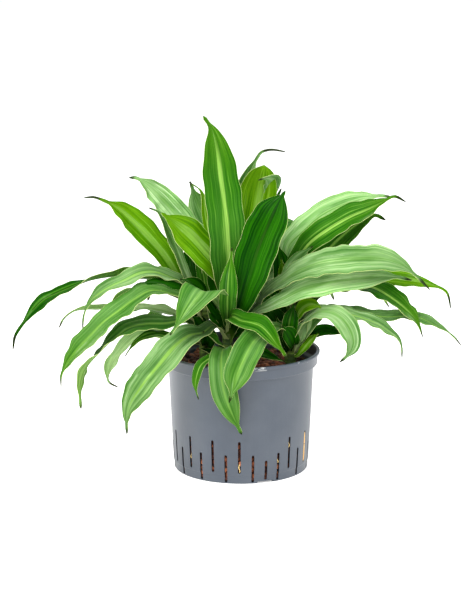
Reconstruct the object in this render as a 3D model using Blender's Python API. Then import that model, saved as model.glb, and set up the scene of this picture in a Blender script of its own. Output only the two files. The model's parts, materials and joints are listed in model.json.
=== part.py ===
"""Potted dracaena: a slotted culture pot, its clay granulate, and four leafy shoots.

Metres, +Z up. The origin is on the floor, at the centre of the pot's flat base. The
front of the plant faces -Y, and +X is to its right. Sizes are named in millimetres
and turned into metres by the constant MM.
"""
import math
import random
from typing import NamedTuple

import bmesh
import bpy
from mathutils import Matrix, Vector

MM = 0.001

# Culture pot
POT_HEIGHT = 190.0
BASE_RADIUS = 105.5
STEP_HEIGHT = 13.0
STEP_DEPTH = 0.8
BODY_TOP_RADIUS = 115.0
BAND_HEIGHT = 21.0
BAND_RADIUS = 121.0
LIP_RADIUS = 124.5
LIP_HEIGHT = 4.0
WALL = 2.0
FLOOR = 4.5
POT_SIDES = 64

# Drain slots, in alternating high and low ones round the foot
SLOT_COUNT = 32
SLOT_WIDTH = 4.3
CUTTER_DEPTH = (6.0, -14.0)
SLOT_FIRST_ANGLE = -1.4
HIGH_SLOT = (17.3, 69.0)
LOW_SLOT = (2.0, 46.5)
SHORT_SLOT = (5.0, 36.5)
SHORT_SLOT_NUMBERS = (2, 18)
NOTCH_WIDTH = 26.0
NOTCH_HEIGHT = 3.0
NOTCH_DEPTH = 14.0

# Clay granulate
GAP = 0.3
FILL_TOP = 165.0
PEBBLE_PITCH = 25.0
PEBBLE_RADIUS = 13.5
PEBBLE_JITTER = 2.5
PEBBLE_SINK = 3.5
PEBBLE_ROWS = 7
PEBBLE_SEED = 7

# Shoots and leaves
STEM_SIDES = 12
STEM_FOOT = 118.0
STEM_GROUND = 180.5
STEM_TAPER = 0.75
STEM_CONE = 12.0
STEM_HOLE_GAP = 0.5
STEM_HOLE_TOP = 210.0
BLADE_THICKNESS = 0.9
BLADE_STEP = 37.0
BLADE_MIN_STEPS = 5
BLADE_MAX_STEPS = 13
NECK_SHARE = 0.22
FOLD_AT_NECK = 42.0
WAVE_HEIGHT = 1.6
WAVE_LENGTH = 62.0
WAVE_FULL_HALF = 12.0
TIP_WIDTH = 2.2

# The root that fills one high slot, on the right
ROOT_SLOT_NUMBER = 6
ROOT_RADIUS = 1.5
ROOT_HEIGHTS = (19.5, 66.5)
ROOT_BOW = 0.25
ROOT_SIDES = 8
ROOT_STEPS = 8


class Blade(NamedTuple):
    """One leaf: where it leaves its stem, its widest width, the way its upper side
    looks at its middle, its twist from middle to tip in degrees, its midrib, the share
    of its length at which it is widest, how long it stays broad before its tip, the
    angle in degrees that each half is folded up by, how strongly its margins wave, how
    late it widens, and the share of its length that is a thin tail."""
    root: float
    width: float
    faces: tuple
    twist: float
    midrib: tuple
    widest: float = 0.52
    blunt: float = 2.6
    fold: float = 13.0
    wave: float = 1.0
    rise: float = 1.0
    tail: float = 0.04


class Shoot(NamedTuple):
    """One stem with its leaves: name, foot, stem radius, stem top and blades."""
    name: str
    foot: tuple
    radius: float
    top: float
    blades: tuple


FRONT = (0.0, -1.0, 0.25)
FRONT_UP = (0.0, -0.75, 0.65)
UP = (0.0, -0.35, 0.95)

CENTRE = Shoot("leafy_shoot_centre", (-21, -15), 10.0, 248, (
    Blade(227, 58, (0.15, -1.0, 0.1), 8,
          ((-20, -26, 296), (-22, -33, 379), (-32, -36, 469), (-43, -29, 539), (-58, -23, 563)),
          widest=0.36, blunt=3.8, fold=9, wave=0.7, tail=0.01),
    Blade(202, 64, (-0.25, -1.0, 0.25), -10,
          ((-6, -33, 252), (8, -43, 299), (25, -49, 357), (43, -49, 403), (57, -43, 431),
           (68, -35, 449)), widest=0.6, blunt=3.6, fold=10, wave=0.5, tail=0.01),
    Blade(218, 29, FRONT, 5,
          ((-21, -41, 262), (-19, -56, 312), (-14, -54, 364)), widest=0.45, blunt=2),
    Blade(243, 54, FRONT_UP, 4,
          ((-34, -19, 318), (-59, -30, 355), (-80, -42, 380), (-101, -54, 401), (-122, -64, 420)),
          widest=0.55, fold=6, wave=0.8, tail=0.01),
    Blade(247, 13, FRONT, 30,
          ((-45, 0, 349), (-55, 5, 399), (-62, 2, 441), (-81, -6, 458))),
    Blade(217, 50, FRONT_UP, -10,
          ((27, -12, 262), (39, -22, 284), (61, -30, 303), (87, -36, 320), (119, -45, 335),
           (155, -56, 343), (192, -66, 348), (226, -74, 347), (252, -79, 337), (271, -82, 322),
           (289, -84, 304)), widest=0.58, fold=10, wave=1.2, rise=1.5, tail=0.07),
    Blade(207, 40, (0.0, -0.8, 0.6), -10,
          ((25, -19, 254), (42, -25, 263), (67, -33, 278), (96, -39, 294), (134, -46, 305),
           (171, -51, 312), (208, -53, 316), (239, -55, 318), (263, -57, 313)),
          widest=0.55, blunt=2.8, fold=10, wave=1.3, rise=1.3),
    Blade(214, 33, FRONT_UP, 15,
          ((-14, -50, 253), (0, -66, 251), (17, -84, 252), (32, -97, 249), (44, -106, 239),
           (55, -111, 224), (62, -113, 216), (69, -114, 205)),
          widest=0.5, blunt=2, fold=22, wave=1.3, tail=0.02),
    Blade(192, 42, (0.0, -1.0, 0.15), 10,
          ((-27, -72, 207), (-29, -106, 202), (-29, -126, 193), (-28, -133, 173), (-22, -135, 146),
           (-12, -134, 118), (1, -129, 87)), widest=0.5, blunt=2.4, fold=16, tail=0.02),
    Blade(185, 16, (-0.3, -0.9, 0.3), 20,
          ((-38, -77, 199), (-53, -102, 197), (-63, -118, 191), (-69, -124, 172), (-69, -125, 158),
           (-65, -123, 141)), widest=0.6, blunt=2.4, fold=20),
    Blade(183, 28, UP, 0,
          ((-30, -40, 201), (-44, -50, 218), (-59, -56, 232))),
    Blade(188, 17, UP, 0,
          ((-30, -34, 185), (-51, -46, 195), (-68, -52, 206))),
    Blade(185, 23, UP, 0,
          ((10, -36, 198), (33, -46, 194), (52, -54, 188), (68, -58, 184))),
    Blade(224, 68, (-0.3, -0.66, 0.69), 0,
          ((-37, -36, 271), (-54, -55, 292), (-57, -62, 297), (-66, -76, 289), (-80, -95, 275),
           (-95, -112, 258), (-108, -124, 242)),
          widest=0.5, blunt=1.25, fold=12, wave=0.8, rise=1.2, tail=0.02),
    Blade(200, 54, (-0.3, -0.75, 0.55), 15,
          ((-41, -38, 236), (-59, -56, 229), (-79, -76, 229), (-97, -96, 220), (-112, -110, 206),
           (-127, -122, 190), (-142, -132, 174), (-154, -138, 158), (-166, -143, 141),
           (-173, -145, 121), (-174, -145, 92)), widest=0.5, blunt=3.2, fold=14, wave=1.2, tail=0.03),
    Blade(213, 28, FRONT_UP, 0,
          ((-30, -20, 245), (-45, -28, 271), (-58, -32, 292)), widest=0.5, blunt=3),
    Blade(232, 30, FRONT, 0,
          ((-30, -8, 271), (-39, -10, 303), (-47, -12, 332)), widest=0.5),
    Blade(218, 30, FRONT_UP, 0,
          ((-31, -22, 239), (-42, -28, 253), (-55, -32, 271)), widest=0.5),
    Blade(208, 22, FRONT, 0,
          ((-8, -20, 222), (3, -22, 235), (16, -20, 249)), widest=0.5),
))

LEFT = Shoot("leafy_shoot_left", (-57, 5), 9.0, 264, (
    Blade(253, 44, FRONT_UP, 10,
          ((-55, 12, 334), (-69, 15, 362), (-86, 15, 384), (-105, 12, 407), (-128, 5, 434),
           (-147, -5, 454), (-162, -12, 465), (-173, -15, 466)),
          widest=0.5, blunt=3, fold=10, wave=1.7, tail=0.03),
    Blade(243, 21, (0.7, -0.7, 0.3), 10,
          ((-85, -5, 307), (-103, -10, 356), (-115, -19, 385), (-127, -31, 414), (-142, -43, 424))),
    Blade(259, 43, FRONT_UP, 20,
          ((-95, 15, 285), (-104, 18, 310), (-126, 22, 343), (-152, 23, 373), (-182, 20, 403),
           (-202, 14, 419), (-217, 8, 427), (-230, 4, 432), (-244, 0, 432)),
          widest=0.56, blunt=2.2, fold=14, wave=1.2, tail=0.12),
    Blade(239, 34, (0.0, 0.7, 0.7), -135,
          ((-99, 8, 287), (-127, 10, 297), (-159, 10, 304), (-190, 8, 306), (-221, 3, 303),
           (-244, -2, 298), (-265, -6, 290), (-283, -10, 283), (-307, -15, 272), (-325, -20, 256),
           (-339, -25, 239), (-353, -28, 218), (-357, -30, 196)), widest=0.4, blunt=3, tail=0.08),
    Blade(232, 32, (-0.3, -0.6, 0.7), 20,
          ((-91, -6, 296), (-111, -10, 308), (-134, -19, 318), (-157, -28, 318), (-180, -37, 309),
           (-203, -45, 300), (-221, -52, 290), (-235, -56, 277), (-243, -58, 254), (-245, -60, 224)),
          widest=0.48, blunt=2.2, wave=1.6, tail=0.1),
    Blade(212, 27, (0.0, 0.6, 0.75), 20,
          ((-71, -8, 234), (-96, -14, 245), (-119, -20, 254), (-142, -24, 260), (-165, -28, 261),
           (-192, -30, 263), (-220, -33, 264), (-243, -36, 264), (-260, -38, 260),
           (-275, -40, 249), (-283, -41, 234)), widest=0.36, blunt=1.6, wave=1.3),
    Blade(217, 50, (-0.4, -0.5, 0.75), 10,
          ((-79, -29, 271), (-107, -38, 286), (-138, -48, 294), (-162, -60, 284), (-186, -70, 267),
           (-209, -80, 251), (-232, -90, 229), (-252, -97, 209), (-267, -103, 192),
           (-275, -107, 174), (-276, -109, 155)), widest=0.56, blunt=3.4, rise=1.2, tail=0.05),
    Blade(202, 36, (0.0, -0.6, 0.8), 125,
          ((-88, -22, 239), (-118, -36, 239), (-149, -50, 241), (-172, -62, 239), (-190, -74, 229),
           (-205, -83, 218), (-220, -92, 203), (-234, -98, 189), (-243, -103, 173),
           (-247, -107, 151), (-246, -110, 122)), widest=0.42, blunt=3.4, wave=1.2, tail=0.02),
    Blade(198, 25, (-0.2, 0.8, 0.5), 0,
          ((-119, -22, 216), (-142, -30, 225), (-161, -38, 223), (-176, -45, 212),
           (-190, -50, 197), (-201, -53, 182), (-207, -54, 165), (-206, -53, 150), (-192, -51, 141)),
          widest=0.6, blunt=3, wave=1.4, tail=0.08),
    Blade(192, 20, UP, 0,
          ((-111, -39, 220), (-134, -47, 224), (-154, -52, 219), (-169, -56, 208), (-180, -60, 193))),
    Blade(257, 28, FRONT_UP, 10,
          ((-80, -10, 271), (-98, -19, 286), (-118, -26, 296), (-134, -32, 302), (-147, -37, 304),
           (-160, -41, 299), (-166, -43, 285)), widest=0.45, blunt=1.7, tail=0.12),
    Blade(248, 22, FRONT, 5,
          ((-56, 0, 292), (-63, 0, 330), (-68, -1, 354))),
    Blade(238, 36, (-0.4, 0.5, 0.8), 0,
          ((-98, 41, 267), (-155, 88, 268), (-198, 116, 243), (-219, 134, 204))),
    Blade(227, 34, (0.0, 0.6, 0.8), 0,
          ((-78, 52, 267), (-112, 114, 290), (-141, 170, 267), (-155, 207, 221))),
    Blade(207, 30, (-0.2, 0.6, 0.8), 0,
          ((-88, 46, 224), (-124, 93, 227), (-150, 124, 206), (-163, 145, 174))),
    Blade(243, 30, FRONT, 0,
          ((-69, 16, 282), (-77, 24, 325), (-85, 28, 363)), widest=0.5, blunt=3),
    Blade(229, 30, FRONT_UP, 0,
          ((-71, 2, 249), (-83, -6, 274), (-102, -10, 289)), widest=0.5, blunt=3),
    Blade(252, 22, (-0.2, -0.6, 0.75), 0,
          ((-64, -8, 288), (-80, -16, 303), (-95, -20, 307)), widest=0.5, blunt=2.2),
    Blade(206, 24, FRONT_UP, 0,
          ((-58, -8, 222), (-66, -16, 237), (-77, -20, 248)), widest=0.5),
    Blade(196, 24, FRONT, 0,
          ((-53, -10, 200), (-50, -16, 218), (-45, -19, 235)), widest=0.5),
))

RIGHT = Shoot("leafy_shoot_right", (78, 0), 9.5, 260, (
    Blade(249, 43, FRONT_UP, -20,
          ((69, 6, 292), (86, 8, 328), (108, 8, 359), (139, 4, 383), (170, 0, 402), (203, -6, 418),
           (225, -10, 430), (238, -12, 436), (255, -14, 428)), wave=0.9, tail=0.07),
    Blade(238, 38, FRONT_UP, -10,
          ((92, 19, 276), (107, 25, 301), (126, 29, 327), (150, 29, 354), (180, 25, 382),
           (209, 17, 401), (226, 8, 395)), widest=0.34, blunt=3.4),
    Blade(233, 30, FRONT_UP, 0,
          ((101, 5, 268), (132, 3, 288), (163, 1, 301), (210, -6, 309), (248, -12, 305),
           (276, -17, 302), (295, -21, 298), (310, -24, 294), (321, -26, 286), (327, -27, 262)),
          widest=0.5, blunt=2.2, tail=0.16),
    Blade(222, 38, (0.1, -0.6, 0.8), -20,
          ((89, -8, 247), (116, -12, 272), (147, -19, 292), (177, -26, 300), (208, -35, 296),
           (234, -45, 282), (255, -56, 267), (270, -62, 251), (281, -66, 225)),
          widest=0.55, blunt=3.4, wave=1.3),
    Blade(216, 23, (0.0, -0.6, 0.8), -20,
          ((87, 0, 234), (108, -4, 249), (147, -14, 256), (186, -24, 254), (224, -34, 250),
           (255, -43, 253), (277, -50, 252), (297, -58, 244), (315, -64, 236), (329, -70, 226),
           (340, -74, 213)), widest=0.55, blunt=2.8, wave=1.4, tail=0.05),
    Blade(200, 24, (0.0, -0.6, 0.8), -20,
          ((86, -12, 227), (105, -20, 249), (135, -33, 259), (166, -48, 258), (193, -58, 252),
           (215, -66, 244), (231, -74, 234), (245, -81, 221), (248, -85, 197)),
          widest=0.48, blunt=3, wave=1.3),
    Blade(192, 34, (0.3, -0.85, 0.4), -20,
          ((88, -17, 217), (101, -28, 240), (120, -42, 258), (138, -56, 261), (154, -66, 254),
           (165, -74, 241), (171, -80, 227), (171, -83, 215), (165, -86, 203), (152, -89, 191)),
          widest=0.62, blunt=3, fold=10, wave=1.3),
    Blade(183, 20, FRONT_UP, 0,
          ((93, 2, 194), (112, 3, 212), (132, 2, 220), (151, -2, 218), (165, -6, 211))),
    Blade(208, 46, (0.1, -0.85, 0.5), 10,
          ((60, -30, 231), (44, -56, 235), (31, -76, 232), (16, -101, 223), (3, -126, 204),
           (-7, -143, 184), (-13, -151, 163), (-18, -157, 145)), widest=0.62, blunt=3.2, fold=18),
    Blade(252, 18, FRONT, 5,
          ((68, 3, 275), (67, 6, 306), (63, 8, 335))),
    Blade(243, 36, (0.4, 0.5, 0.8), 0,
          ((114, 41, 273), (165, 79, 288), (212, 109, 269), (242, 132, 227))),
    Blade(231, 34, (0.1, 0.6, 0.8), 0,
          ((93, 57, 263), (116, 119, 286), (138, 170, 267), (155, 205, 223))),
    Blade(208, 30, (0.3, 0.6, 0.8), 0,
          ((108, 41, 228), (147, 83, 233), (178, 112, 212), (196, 128, 177))),
    Blade(247, 28, FRONT, 0,
          ((68, 20, 281), (63, 28, 324), (58, 32, 355)), widest=0.5, blunt=3),
    Blade(235, 22, FRONT_UP, 10,
          ((86, -14, 243), (97, -24, 262), (110, -33, 270), (121, -38, 268), (127, -41, 261)),
          widest=0.5, blunt=2.2),
    Blade(200, 26, FRONT_UP, 0,
          ((82, -14, 200), (75, -24, 220), (64, -30, 234)), widest=0.5),
    Blade(205, 18, FRONT_UP, 0,
          ((91, -12, 211), (97, -18, 228), (106, -24, 241)), widest=0.5),
    Blade(243, 24, FRONT_UP, 0,
          ((71, -2, 294), (80, -4, 321), (97, -6, 344), (112, -8, 357)), widest=0.55),
    Blade(236, 26, FRONT, 0,
          ((71, 6, 255), (60, 10, 273), (44, 12, 295)), widest=0.5),
    Blade(216, 34, FRONT, 0,
          ((68, 6, 224), (50, 10, 249), (28, 12, 281)), widest=0.5),
    Blade(180, 15, FRONT_UP, 0,
          ((91, -6, 198), (105, -14, 222), (119, -20, 243), (134, -24, 254)), widest=0.7, blunt=3),
    Blade(178, 26, FRONT, 0,
          ((75, -13, 204), (77, -17, 238), (84, -16, 268)), widest=0.5, blunt=3),
    Blade(184, 20, (0.2, 0.85, 0.5), 0,
          ((85, -8, 187), (91, -14, 206), (102, -18, 228), (117, -16, 244), (135, -12, 252)),
          widest=0.55, blunt=2.2),
    Blade(183, 17, FRONT, 0,
          ((72, -9, 190), (68, -13, 211), (61, -14, 230), (55, -12, 246)), widest=0.5, blunt=2.4),
    Blade(181, 13, FRONT_UP, 0,
          ((88, -9, 181), (98, -12, 193), (110, -11, 207), (123, -8, 218)), widest=0.6, blunt=2.4),
))

BACK = Shoot("leafy_shoot_back", (15, 54), 10.0, 283, (
    Blade(265, 48, FRONT, 5,
          ((-12, 46, 321), (-36, 46, 356), (-66, 42, 410), (-80, 34, 452)), widest=0.5, blunt=3),
    Blade(278, 32, FRONT, 0,
          ((8, 54, 319), (3, 55, 394), (3, 55, 419), (8, 54, 443), (17, 50, 471), (28, 46, 492),
           (34, 44, 498), (49, 42, 501), (69, 40, 498)), widest=0.45, blunt=2.2, tail=0.17),
    Blade(274, 60, FRONT, 6,
          ((14, 43, 341), (19, 42, 389), (25, 39, 425), (31, 33, 455), (36, 27, 479)),
          widest=0.6, blunt=5.5, fold=8, tail=0.01),
    Blade(270, 42, FRONT_UP, -15,
          ((67, 50, 320), (76, 52, 348), (97, 52, 369), (125, 50, 394), (156, 46, 411),
           (187, 40, 423), (218, 32, 429), (235, 26, 429)), widest=0.5, fold=10, wave=1.1),
    Blade(259, 42, (-0.3, 0.6, 0.75), 0,
          ((-16, 91, 328), (-39, 134, 362), (-57, 181, 364), (-68, 222, 330))),
    Blade(253, 45, (0.1, 0.6, 0.8), 0,
          ((23, 98, 330), (31, 150, 369), (39, 207, 364), (43, 253, 318))),
    Blade(247, 40, (0.4, 0.5, 0.75), 0,
          ((50, 91, 320), (76, 134, 355), (101, 181, 351), (116, 217, 314))),
    Blade(231, 38, (-0.1, 0.6, 0.8), 0,
          ((-10, 108, 277), (-23, 170, 295), (-31, 227, 266), (-35, 258, 216))),
    Blade(220, 38, (0.2, 0.6, 0.8), 0,
          ((36, 108, 267), (58, 170, 281), (74, 222, 250), (85, 250, 200))),
    Blade(207, 34, (0.0, 0.6, 0.8), 0,
          ((12, 98, 232), (10, 145, 239), (8, 184, 214), (6, 207, 173))),
    Blade(280, 28, (0.2, -0.9, 0.3), 0,
          ((31, 60, 337), (45, 64, 383), (54, 66, 414), (64, 68, 435))),
    Blade(255, 38, FRONT, 0,
          ((-6, 58, 305), (-24, 62, 350), (-38, 66, 392))),
    Blade(214, 44, FRONT_UP, 0,
          ((27, 44, 203), (43, 42, 224), (62, 40, 237), (80, 38, 246)), widest=0.55, blunt=3),
))

SHOOTS = (CENTRE, LEFT, RIGHT, BACK)


def clear_scene() -> None:
    """Removes the objects that the file opens with."""
    for thing in list(bpy.data.objects):
        bpy.data.objects.remove(thing, do_unlink=True)


def make_material(name: str, colour: tuple, roughness: float, metallic: float = 0.0):
    """Returns a Principled BSDF material."""
    material = bpy.data.materials.new(name)
    material.use_nodes = True
    shader = material.node_tree.nodes["Principled BSDF"]
    shader.inputs["Base Color"].default_value = (*colour, 1.0)
    shader.inputs["Roughness"].default_value = roughness
    shader.inputs["Metallic"].default_value = metallic
    return material


def add_object(name: str, shape: bmesh.types.BMesh, material=None, smooth_angle: float = 40.0):
    """Turns a bmesh in millimetres into a named, smooth-shaded object in metres."""
    bmesh.ops.scale(shape, vec=(MM, MM, MM), verts=shape.verts)
    mesh = bpy.data.meshes.new(name)
    shape.to_mesh(mesh)
    shape.free()
    mesh.shade_smooth()
    mesh.set_sharp_from_angle(angle=math.radians(smooth_angle))
    thing = bpy.data.objects.new(name, mesh)
    bpy.context.collection.objects.link(thing)
    if material is not None:
        mesh.materials.append(material)
    return thing


def lathe(profile: list, sides: int, turn: float) -> bmesh.types.BMesh:
    """Spins a profile of (radius, height) points, both of whose ends lie on the axis."""
    shape = bmesh.new()
    points = [shape.verts.new((radius, 0.0, height)) for radius, height in profile]
    edges = [shape.edges.new(pair) for pair in zip(points, points[1:])]
    bmesh.ops.rotate(shape, matrix=Matrix.Rotation(turn, 3, "Z"), verts=shape.verts)
    bmesh.ops.spin(shape, geom=points + edges, axis=(0, 0, 1), cent=(0, 0, 0),
                   angle=math.tau, steps=sides, use_merge=True)
    bmesh.ops.remove_doubles(shape, verts=shape.verts, dist=0.01)
    bmesh.ops.recalc_face_normals(shape, faces=shape.faces)
    return shape


def apply_boolean(thing, tools: list, operation: str) -> None:
    """Joins or cuts an object with a collection of tools, applies it, and removes them."""
    collection = bpy.data.collections.new(f"{thing.name}_tools")
    for tool in tools:
        collection.objects.link(tool)
    boolean = thing.modifiers.new("join", "BOOLEAN")
    boolean.operation = operation
    boolean.solver = "EXACT"
    boolean.operand_type = "COLLECTION"
    boolean.collection = collection
    bpy.context.view_layer.update()
    evaluated = thing.evaluated_get(bpy.context.evaluated_depsgraph_get())
    joined = bpy.data.meshes.new_from_object(evaluated)
    thing.modifiers.clear()
    thing.data = joined
    for tool in tools:
        bpy.data.objects.remove(tool, do_unlink=True)
    bpy.data.collections.remove(collection)


def wall_radius(height: float) -> float:
    """Outer radius of the tapered body at a height."""
    share = (height - STEP_HEIGHT) / (POT_HEIGHT - BAND_HEIGHT - STEP_HEIGHT)
    foot = BASE_RADIUS + 2 * STEP_DEPTH
    return foot + (BODY_TOP_RADIUS - foot) * share


def pot_profile() -> list:
    """Outline of the pot, from the centre of its base, up the outside and down the inside."""
    band = POT_HEIGHT - BAND_HEIGHT
    lip = POT_HEIGHT - LIP_HEIGHT
    return [(0, 0), (BASE_RADIUS - 1, 0), (BASE_RADIUS, 1), (BASE_RADIUS + STEP_DEPTH, STEP_HEIGHT),
            (BASE_RADIUS + 2 * STEP_DEPTH, STEP_HEIGHT + 1), (BODY_TOP_RADIUS, band - 1),
            (BAND_RADIUS - 1, band), (BAND_RADIUS, band + 1.5), (BAND_RADIUS + 0.6, lip - 0.6),
            (LIP_RADIUS, lip + 0.4), (LIP_RADIUS, POT_HEIGHT - 0.8), (LIP_RADIUS - 0.8, POT_HEIGHT),
            (BAND_RADIUS - WALL + 0.6, POT_HEIGHT), (BAND_RADIUS - WALL, lip),
            (BAND_RADIUS - WALL, band + 2.5), (BODY_TOP_RADIUS - WALL, band - 0.5),
            (wall_radius(FLOOR) - WALL - 0.6, FLOOR), (0, FLOOR)]


def slot_angle(number: int) -> float:
    """Angle of a slot in radians from the front, turning towards the right."""
    return math.radians(SLOT_FIRST_ANGLE + 360.0 / SLOT_COUNT * number)


def front_turn(angle: float) -> Matrix:
    """Turns what was made at the front of the pot, at -Y, to an angle round it."""
    return Matrix.Rotation(angle, 4, "Z")


def slot_cutter(number: int):
    """A round-ended prism through the wall, at the place of one drain slot."""
    inside, outside = CUTTER_DEPTH
    low, high = HIGH_SLOT if number % 2 == 0 else LOW_SLOT
    if number in SHORT_SLOT_NUMBERS:
        low, high = SHORT_SLOT
    half = SLOT_WIDTH / 2
    corner = half * 0.55
    outline = [(-half, low + half), (-corner, low), (corner, low), (half, low + half),
               (half, high - half), (corner, high), (-corner, high), (-half, high - half)]
    shape = bmesh.new()
    face = shape.faces.new([shape.verts.new((x, -BASE_RADIUS + inside, z)) for x, z in outline])
    grown = bmesh.ops.extrude_face_region(shape, geom=[face])
    moved = [item for item in grown["geom"] if isinstance(item, bmesh.types.BMVert)]
    bmesh.ops.translate(shape, vec=(0, outside - inside, 0), verts=moved)
    bmesh.ops.recalc_face_normals(shape, faces=shape.faces)
    bmesh.ops.transform(shape, matrix=front_turn(slot_angle(number)), verts=shape.verts)
    return add_object(f"slot_{number}", shape)


def notch_cutter(number: int):
    """A shallow block under the pot's edge, centred below a short slot."""
    shape = bmesh.new()
    bmesh.ops.create_cube(shape, size=1.0)
    bmesh.ops.scale(shape, vec=(NOTCH_WIDTH, NOTCH_DEPTH * 2, NOTCH_HEIGHT * 2), verts=shape.verts)
    bmesh.ops.translate(shape, vec=(0, -BASE_RADIUS, 0), verts=shape.verts)
    bmesh.ops.transform(shape, matrix=front_turn(slot_angle(number)), verts=shape.verts)
    return add_object(f"notch_{number}", shape)


def build_pot(material):
    """The culture pot: a turned wall with its slots and notches cut through it."""
    half_side = math.pi / POT_SIDES
    shape = lathe(pot_profile(), POT_SIDES, math.radians(SLOT_FIRST_ANGLE - 90) + half_side)
    pot = add_object("culture_pot", shape, material, 35.0)
    cutters = [slot_cutter(number) for number in range(SLOT_COUNT)]
    cutters += [notch_cutter(number) for number in SHORT_SLOT_NUMBERS]
    apply_boolean(pot, cutters, "DIFFERENCE")
    return pot


def pebble_places() -> list:
    """Centres of the top pebbles: a jittered hexagonal pattern inside the wall."""
    draw = random.Random(PEBBLE_SEED)
    edge = BODY_TOP_RADIUS - WALL - PEBBLE_RADIUS - 1.0
    rows = range(-PEBBLE_ROWS, PEBBLE_ROWS + 1)
    places = []
    for row in rows:
        for column in rows:
            x = (column + 0.5 * (row % 2)) * PEBBLE_PITCH
            y = row * PEBBLE_PITCH * math.sqrt(3) / 2
            x += draw.uniform(-PEBBLE_JITTER, PEBBLE_JITTER)
            y += draw.uniform(-PEBBLE_JITTER, PEBBLE_JITTER)
            if math.hypot(x, y) <= edge:
                places.append((x, y, FILL_TOP - draw.uniform(0, PEBBLE_SINK)))
    return places


def build_granulate(material):
    """The pot's fill: one body to the wall and floor, its top covered with pebbles."""
    draw = random.Random(PEBBLE_SEED + 1)
    inner_foot = wall_radius(FLOOR) - WALL - 0.6
    inner_top = BODY_TOP_RADIUS - WALL
    share = (FILL_TOP - FLOOR) / (POT_HEIGHT - BAND_HEIGHT - 0.5 - FLOOR)
    top_radius = inner_foot + (inner_top - inner_foot) * share - GAP * 2
    profile = [(0, FLOOR + GAP), (inner_foot - GAP * 2, FLOOR + GAP), (top_radius, FILL_TOP),
               (0, FILL_TOP)]
    half_side = math.pi / POT_SIDES
    shape = lathe(profile, POT_SIDES // 2, math.radians(SLOT_FIRST_ANGLE - 90) + half_side)
    fill = add_object("clay_granulate", shape, material, 30.0)
    pebbles = []
    for number, place in enumerate(pebble_places()):
        lump = bmesh.new()
        size = PEBBLE_RADIUS * draw.uniform(0.85, 1.05)
        bmesh.ops.create_icosphere(lump, subdivisions=1, radius=size)
        squash = (draw.uniform(0.95, 1.1), draw.uniform(0.85, 1.0), draw.uniform(0.75, 0.9))
        bmesh.ops.scale(lump, vec=squash, verts=lump.verts)
        turn = Matrix.Rotation(draw.uniform(0, math.tau), 3, Vector((draw.random(), 0.3, 1)))
        bmesh.ops.rotate(lump, matrix=turn, verts=lump.verts)
        bmesh.ops.translate(lump, vec=place, verts=lump.verts)
        pebbles.append(add_object(f"pebble_{number}", lump))
    apply_boolean(fill, pebbles, "UNION")
    holes = [stem_hole(shoot) for shoot in SHOOTS]
    apply_boolean(fill, holes, "DIFFERENCE")
    return fill


def turned_post(name: str, profile: list, foot: tuple):
    """A round upright post on a shoot's foot, with as many sides as every stem."""
    shape = lathe(profile, STEM_SIDES, 0.0)
    bmesh.ops.translate(shape, vec=(*foot, 0), verts=shape.verts)
    return add_object(name, shape)


def stem_hole(shoot: Shoot):
    """Cutter for the plain round hole that a stem stands in."""
    radius = (shoot.radius + STEM_HOLE_GAP) / math.cos(math.pi / STEM_SIDES)
    low = STEM_FOOT - STEM_HOLE_GAP
    profile = [(0, low), (radius, low), (radius, STEM_HOLE_TOP), (0, STEM_HOLE_TOP)]
    return turned_post(f"{shoot.name}_hole", profile, shoot.foot)


def stem_object(shoot: Shoot):
    """A shoot's stem: straight in the granulate, tapered above it, ending in a cone."""
    neck = shoot.radius * STEM_TAPER
    profile = [(0, STEM_FOOT), (shoot.radius, STEM_FOOT), (shoot.radius, STEM_GROUND),
               (neck, shoot.top - STEM_CONE), (0, shoot.top)]
    return turned_post(shoot.name, profile, shoot.foot)


def smooth_path(points: list, steps: int) -> list:
    """Evenly spaced points on a smooth curve through the given ones."""
    lengths = [0.0]
    for first, second in zip(points, points[1:]):
        lengths.append(lengths[-1] + (second - first).length)
    slopes = []
    for index in range(len(points)):
        low = max(index - 1, 0)
        high = min(index + 1, len(points) - 1)
        slopes.append((points[high] - points[low]) / (lengths[high] - lengths[low]))
    fine = []
    for index in range(len(points) - 1):
        span = lengths[index + 1] - lengths[index]
        for part in range(12):
            t = part / 12
            fine.append(points[index] * (2 * t ** 3 - 3 * t ** 2 + 1)
                        + slopes[index] * span * (t ** 3 - 2 * t ** 2 + t)
                        + points[index + 1] * (3 * t ** 2 - 2 * t ** 3)
                        + slopes[index + 1] * span * (t ** 3 - t ** 2))
    fine.append(points[-1])
    walked = [0.0]
    for first, second in zip(fine, fine[1:]):
        walked.append(walked[-1] + (second - first).length)
    path = []
    place = 0
    for step in range(steps + 1):
        goal = walked[-1] * step / steps
        while place < len(fine) - 2 and walked[place + 1] < goal:
            place += 1
        share = (goal - walked[place]) / (walked[place + 1] - walked[place])
        path.append(fine[place].lerp(fine[place + 1], min(max(share, 0.0), 1.0)))
    return path


def blade_frames(path: list, blade: Blade) -> list:
    """Side and upward directions along a midrib. They follow it without turning round
    it, apart from the twist between its middle and its tip."""
    count = len(path)
    ahead = []
    for index in range(count):
        low = max(index - 1, 0)
        high = min(index + 1, count - 1)
        ahead.append((path[high] - path[low]).normalized())
    middle = round(blade.widest * (count - 1))
    up = Vector(blade.faces)
    up = (up - ahead[middle] * up.dot(ahead[middle])).normalized()
    ups = {middle: up}
    for order in (range(middle + 1, count), range(middle - 1, -1, -1)):
        carried = up
        for index in order:
            carried = (carried - ahead[index] * carried.dot(ahead[index])).normalized()
            ups[index] = carried
    frames = []
    for index in range(count):
        share = (index - middle) / (count - 1 - middle) if index > middle else 0.0
        turned = Matrix.Rotation(math.radians(blade.twist * share), 3, ahead[index]) @ ups[index]
        frames.append((ahead[index].cross(turned).normalized(), turned))
    return frames


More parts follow.
